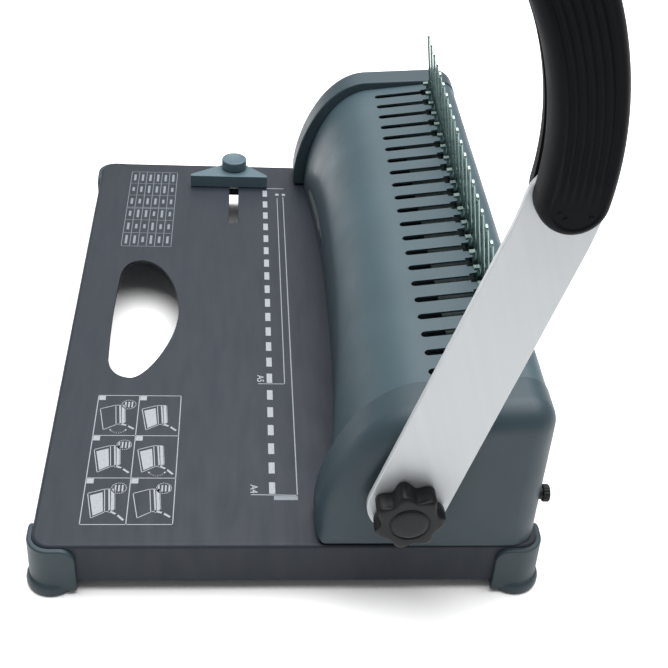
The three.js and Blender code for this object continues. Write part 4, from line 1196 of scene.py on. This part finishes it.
def boot(corner, sign_x, sign_y):
    """Wrapped corner shoe: a wall with round shoulders, standing on a wider round pad."""
    length = 2 * (BOOT_REACH - BASE_CORNER) + BASE_CORNER * QUARTER
    wall = Surface()
    shoulder = [0.0, 0.12, 0.35, 0.7] + [1.0 + 0.5 * k for k in range(14)]
    marks = shoulder + [8 + (length - 16) * k / 22 for k in range(23)]
    marks += [length - mark for mark in reversed(shoulder)]
    rows = []
    for mark in marks:
        (x, y), (nx, ny) = boot_path(mark)
        end = min(mark, length - mark)
        high = BOOT_TOP
        if end < BOOT_TOP_ROUND:
            high -= BOOT_TOP_ROUND - math.sqrt(BOOT_TOP_ROUND ** 2 - (BOOT_TOP_ROUND - end) ** 2)
        proud = BOOT_PROUD
        if end < BOOT_END:
            proud -= BOOT_END - math.sqrt(max(0.0, BOOT_END ** 2 - (BOOT_END - end) ** 2))
        section = [(0.03, BOOT_LOW), (proud, BOOT_LOW), (proud + 0.25, BOOT_LOW + 3),
                   (proud, high - BOOT_EDGE)]
        section += [(proud - BOOT_EDGE * (1 - math.cos(a)), high - BOOT_EDGE * (1 - math.sin(a)))
                    for a in (QUARTER * k / 4 for k in range(1, 5))]
        section.append((0.03, high))
        rows.append([(sign_x * (x + nx * d), sign_y * (y + ny * d), z) for d, z in section])
    wall.loft(rows, around=True)
    wall.face(rows[0])
    wall.face(rows[-1])
    wall.make(f"boot_wall_{corner}", BOOT_PLASTIC, "chassis", "boot_plastic", (f"corner_boot_{corner}",))
    pad = Surface()
    cx = sign_x * (BASE_HIGH.x + PAD_PROUD - PAD_RADIUS)
    cy = sign_y * (BASE_HIGH.y + PAD_PROUD - PAD_RADIUS)
    profile = [(0.02, 0), (PAD_RADIUS - 1.6, 0), (PAD_RADIUS - 0.6, 0.5), (PAD_RADIUS, 1.6),
               (PAD_RADIUS, 3.4), (PAD_RADIUS - 0.3, 5.0), (PAD_RADIUS - 0.9, 6.1),
               (PAD_RADIUS - 1.9, 6.8), (PAD_RADIUS - 3, PAD_TOP), (0.02, PAD_TOP)]
    pad.turned(profile, lambda a, r, h: (cx + r * math.cos(a), cy + r * math.sin(a), h), 72)
    pad.make(f"boot_pad_{corner}", BOOT_PLASTIC, "chassis", "boot_plastic", even=False)


for corner, sign_x, sign_y in (("front_right", 1, -1), ("rear_right", 1, 1),
                               ("front_left", -1, -1), ("rear_left", -1, 1)):
    boot(corner, sign_x, sign_y)


# ---------- margin adjuster ----------
def margin_dial():
    """Small fluted dial on its screw."""
    low, high = box("margin_screw")
    x, z = (low.x + high.x) / 2, (low.z + high.z) / 2
    rod, radius = 3.0, 4.2
    face = high.y - 1.2
    profile = [(0.02, low.y, 0), (rod - 0.4, low.y, 0), (rod, low.y + 0.4, 0), (rod, face - 3.2, 0),
               (radius - 0.4, face - 3.2, 0), (radius, face - 2.8, 0.16), (radius, face - 0.5, 0.16),
               (radius - 0.5, face, 0), (1.6, face, 0), (1.3, face - 0.3, 0), (0.02, face - 0.3, 0)]
    surface = Surface()
    surface.turned(profile, lambda a, r, h: (x + r * math.cos(a), h, z + r * math.sin(a)), 144, 18)
    surface.make("margin_dial", KNOB_PLASTIC, "margin_adjuster", "grip_black", ("margin_screw",), even=False)


margin_dial()

# ---------- CAD nodes that stay as they are ----------
SLOT_MATERIALS = {
    "frame_steel": FRAME_STEEL,
    "tool_steel": TOOL_STEEL,
    "zinc_plate": ZINC,
    "fastener_zinc": FASTENER,
    "spring_wire": SPRING_WIRE,
    "bush_brass": BRASS,
    "base_paint": BASE_PAINT,
    "cover_plastic": COVER_PLASTIC,
    "boot_plastic": BOOT_PLASTIC,
    "guide_plastic": GUIDE_PLASTIC,
    "lever_silver": LEVER_SILVER,
    "grip_black": GRIP_PLASTIC,
    "tray_black": TRAY_PLASTIC,
}
for part in frame["record"]["subparts"]:
    node = frame["nodes"][part["node"]]
    node.data.materials.clear()
    node.data.materials.append(SLOT_MATERIALS[part["material_slot"]])


# ---------- floor, light and camera ----------
def floor():
    """White table that runs on past the picture."""
    mesh = bpy.data.meshes.new("floor")
    reach = 6.0
    corners = [(-reach, -reach, 0), (reach, -reach, 0), (reach, reach, 0), (-reach, reach, 0)]
    mesh.from_pydata(corners, [], [(0, 1, 2, 3)])
    plane = placed("floor", mesh)
    material, tree, principled = shader("white table", (0.93, 0.93, 0.935), 0.7, Specular_IOR_Level=0.2)
    tint(tree, principled, spread(tree, noise(tree, 3, 2), 0, 1), (0.92, 0.92, 0.925), (0.94, 0.94, 0.945))
    mesh.materials.append(material)


def area_light(name, place, aim, size, power):
    light = bpy.data.lights.new(name, "AREA")
    light.shape = "DISK"
    light.size = size
    light.energy = power
    lamp = placed(name, light)
    lamp.location = place
    lamp.rotation_euler = (Vector(aim) - Vector(place)).to_track_quat("-Z", "Y").to_euler()


def studio():
    """White surroundings, a broad soft light overhead and a weak one on the front of the covers."""
    world = bpy.data.worlds.new("studio")
    world.use_nodes = True
    background = world.node_tree.nodes["Background"]
    background.inputs["Color"].default_value = (1, 1, 1, 1)
    background.inputs["Strength"].default_value = 0.33
    bpy.context.scene.world = world
    bpy.context.scene.view_settings.view_transform = "Standard"
    area_light("overhead", place=(-0.25, 0.15, 1.75), aim=(0.05, 0, 0), size=2.6, power=104)
    area_light("backdrop", place=(-2.0, 0.0, 1.05), aim=(0, 0, 0.05), size=1.4, power=4)


LENS = 64.67
SENSOR = 36
STAND_POINT = (0.5605, -0.0264, 0.4421)


def camera():
    """The photograph's viewpoint, worked out from straight edges and the hole pitch."""
    azimuth, elevation, roll = (math.radians(a) for a in (84.09, 36.52, 4.26))
    back = Vector((math.sin(azimuth) * math.cos(elevation), -math.cos(azimuth) * math.cos(elevation),
                   math.sin(elevation)))
    right = Vector((math.cos(azimuth), math.sin(azimuth), 0))
    up = back.cross(right)
    side = math.cos(roll) * right + math.sin(roll) * up
    top = -math.sin(roll) * right + math.cos(roll) * up
    data = bpy.data.cameras.new("camera")
    data.sensor_width = SENSOR
    data.lens = LENS
    view = placed("camera", data)
    turn = Matrix((side, top, back)).transposed().to_4x4()
    view.matrix_world = Matrix.Translation(STAND_POINT) @ turn
    bpy.context.scene.camera = view


floor()
studio()
camera()
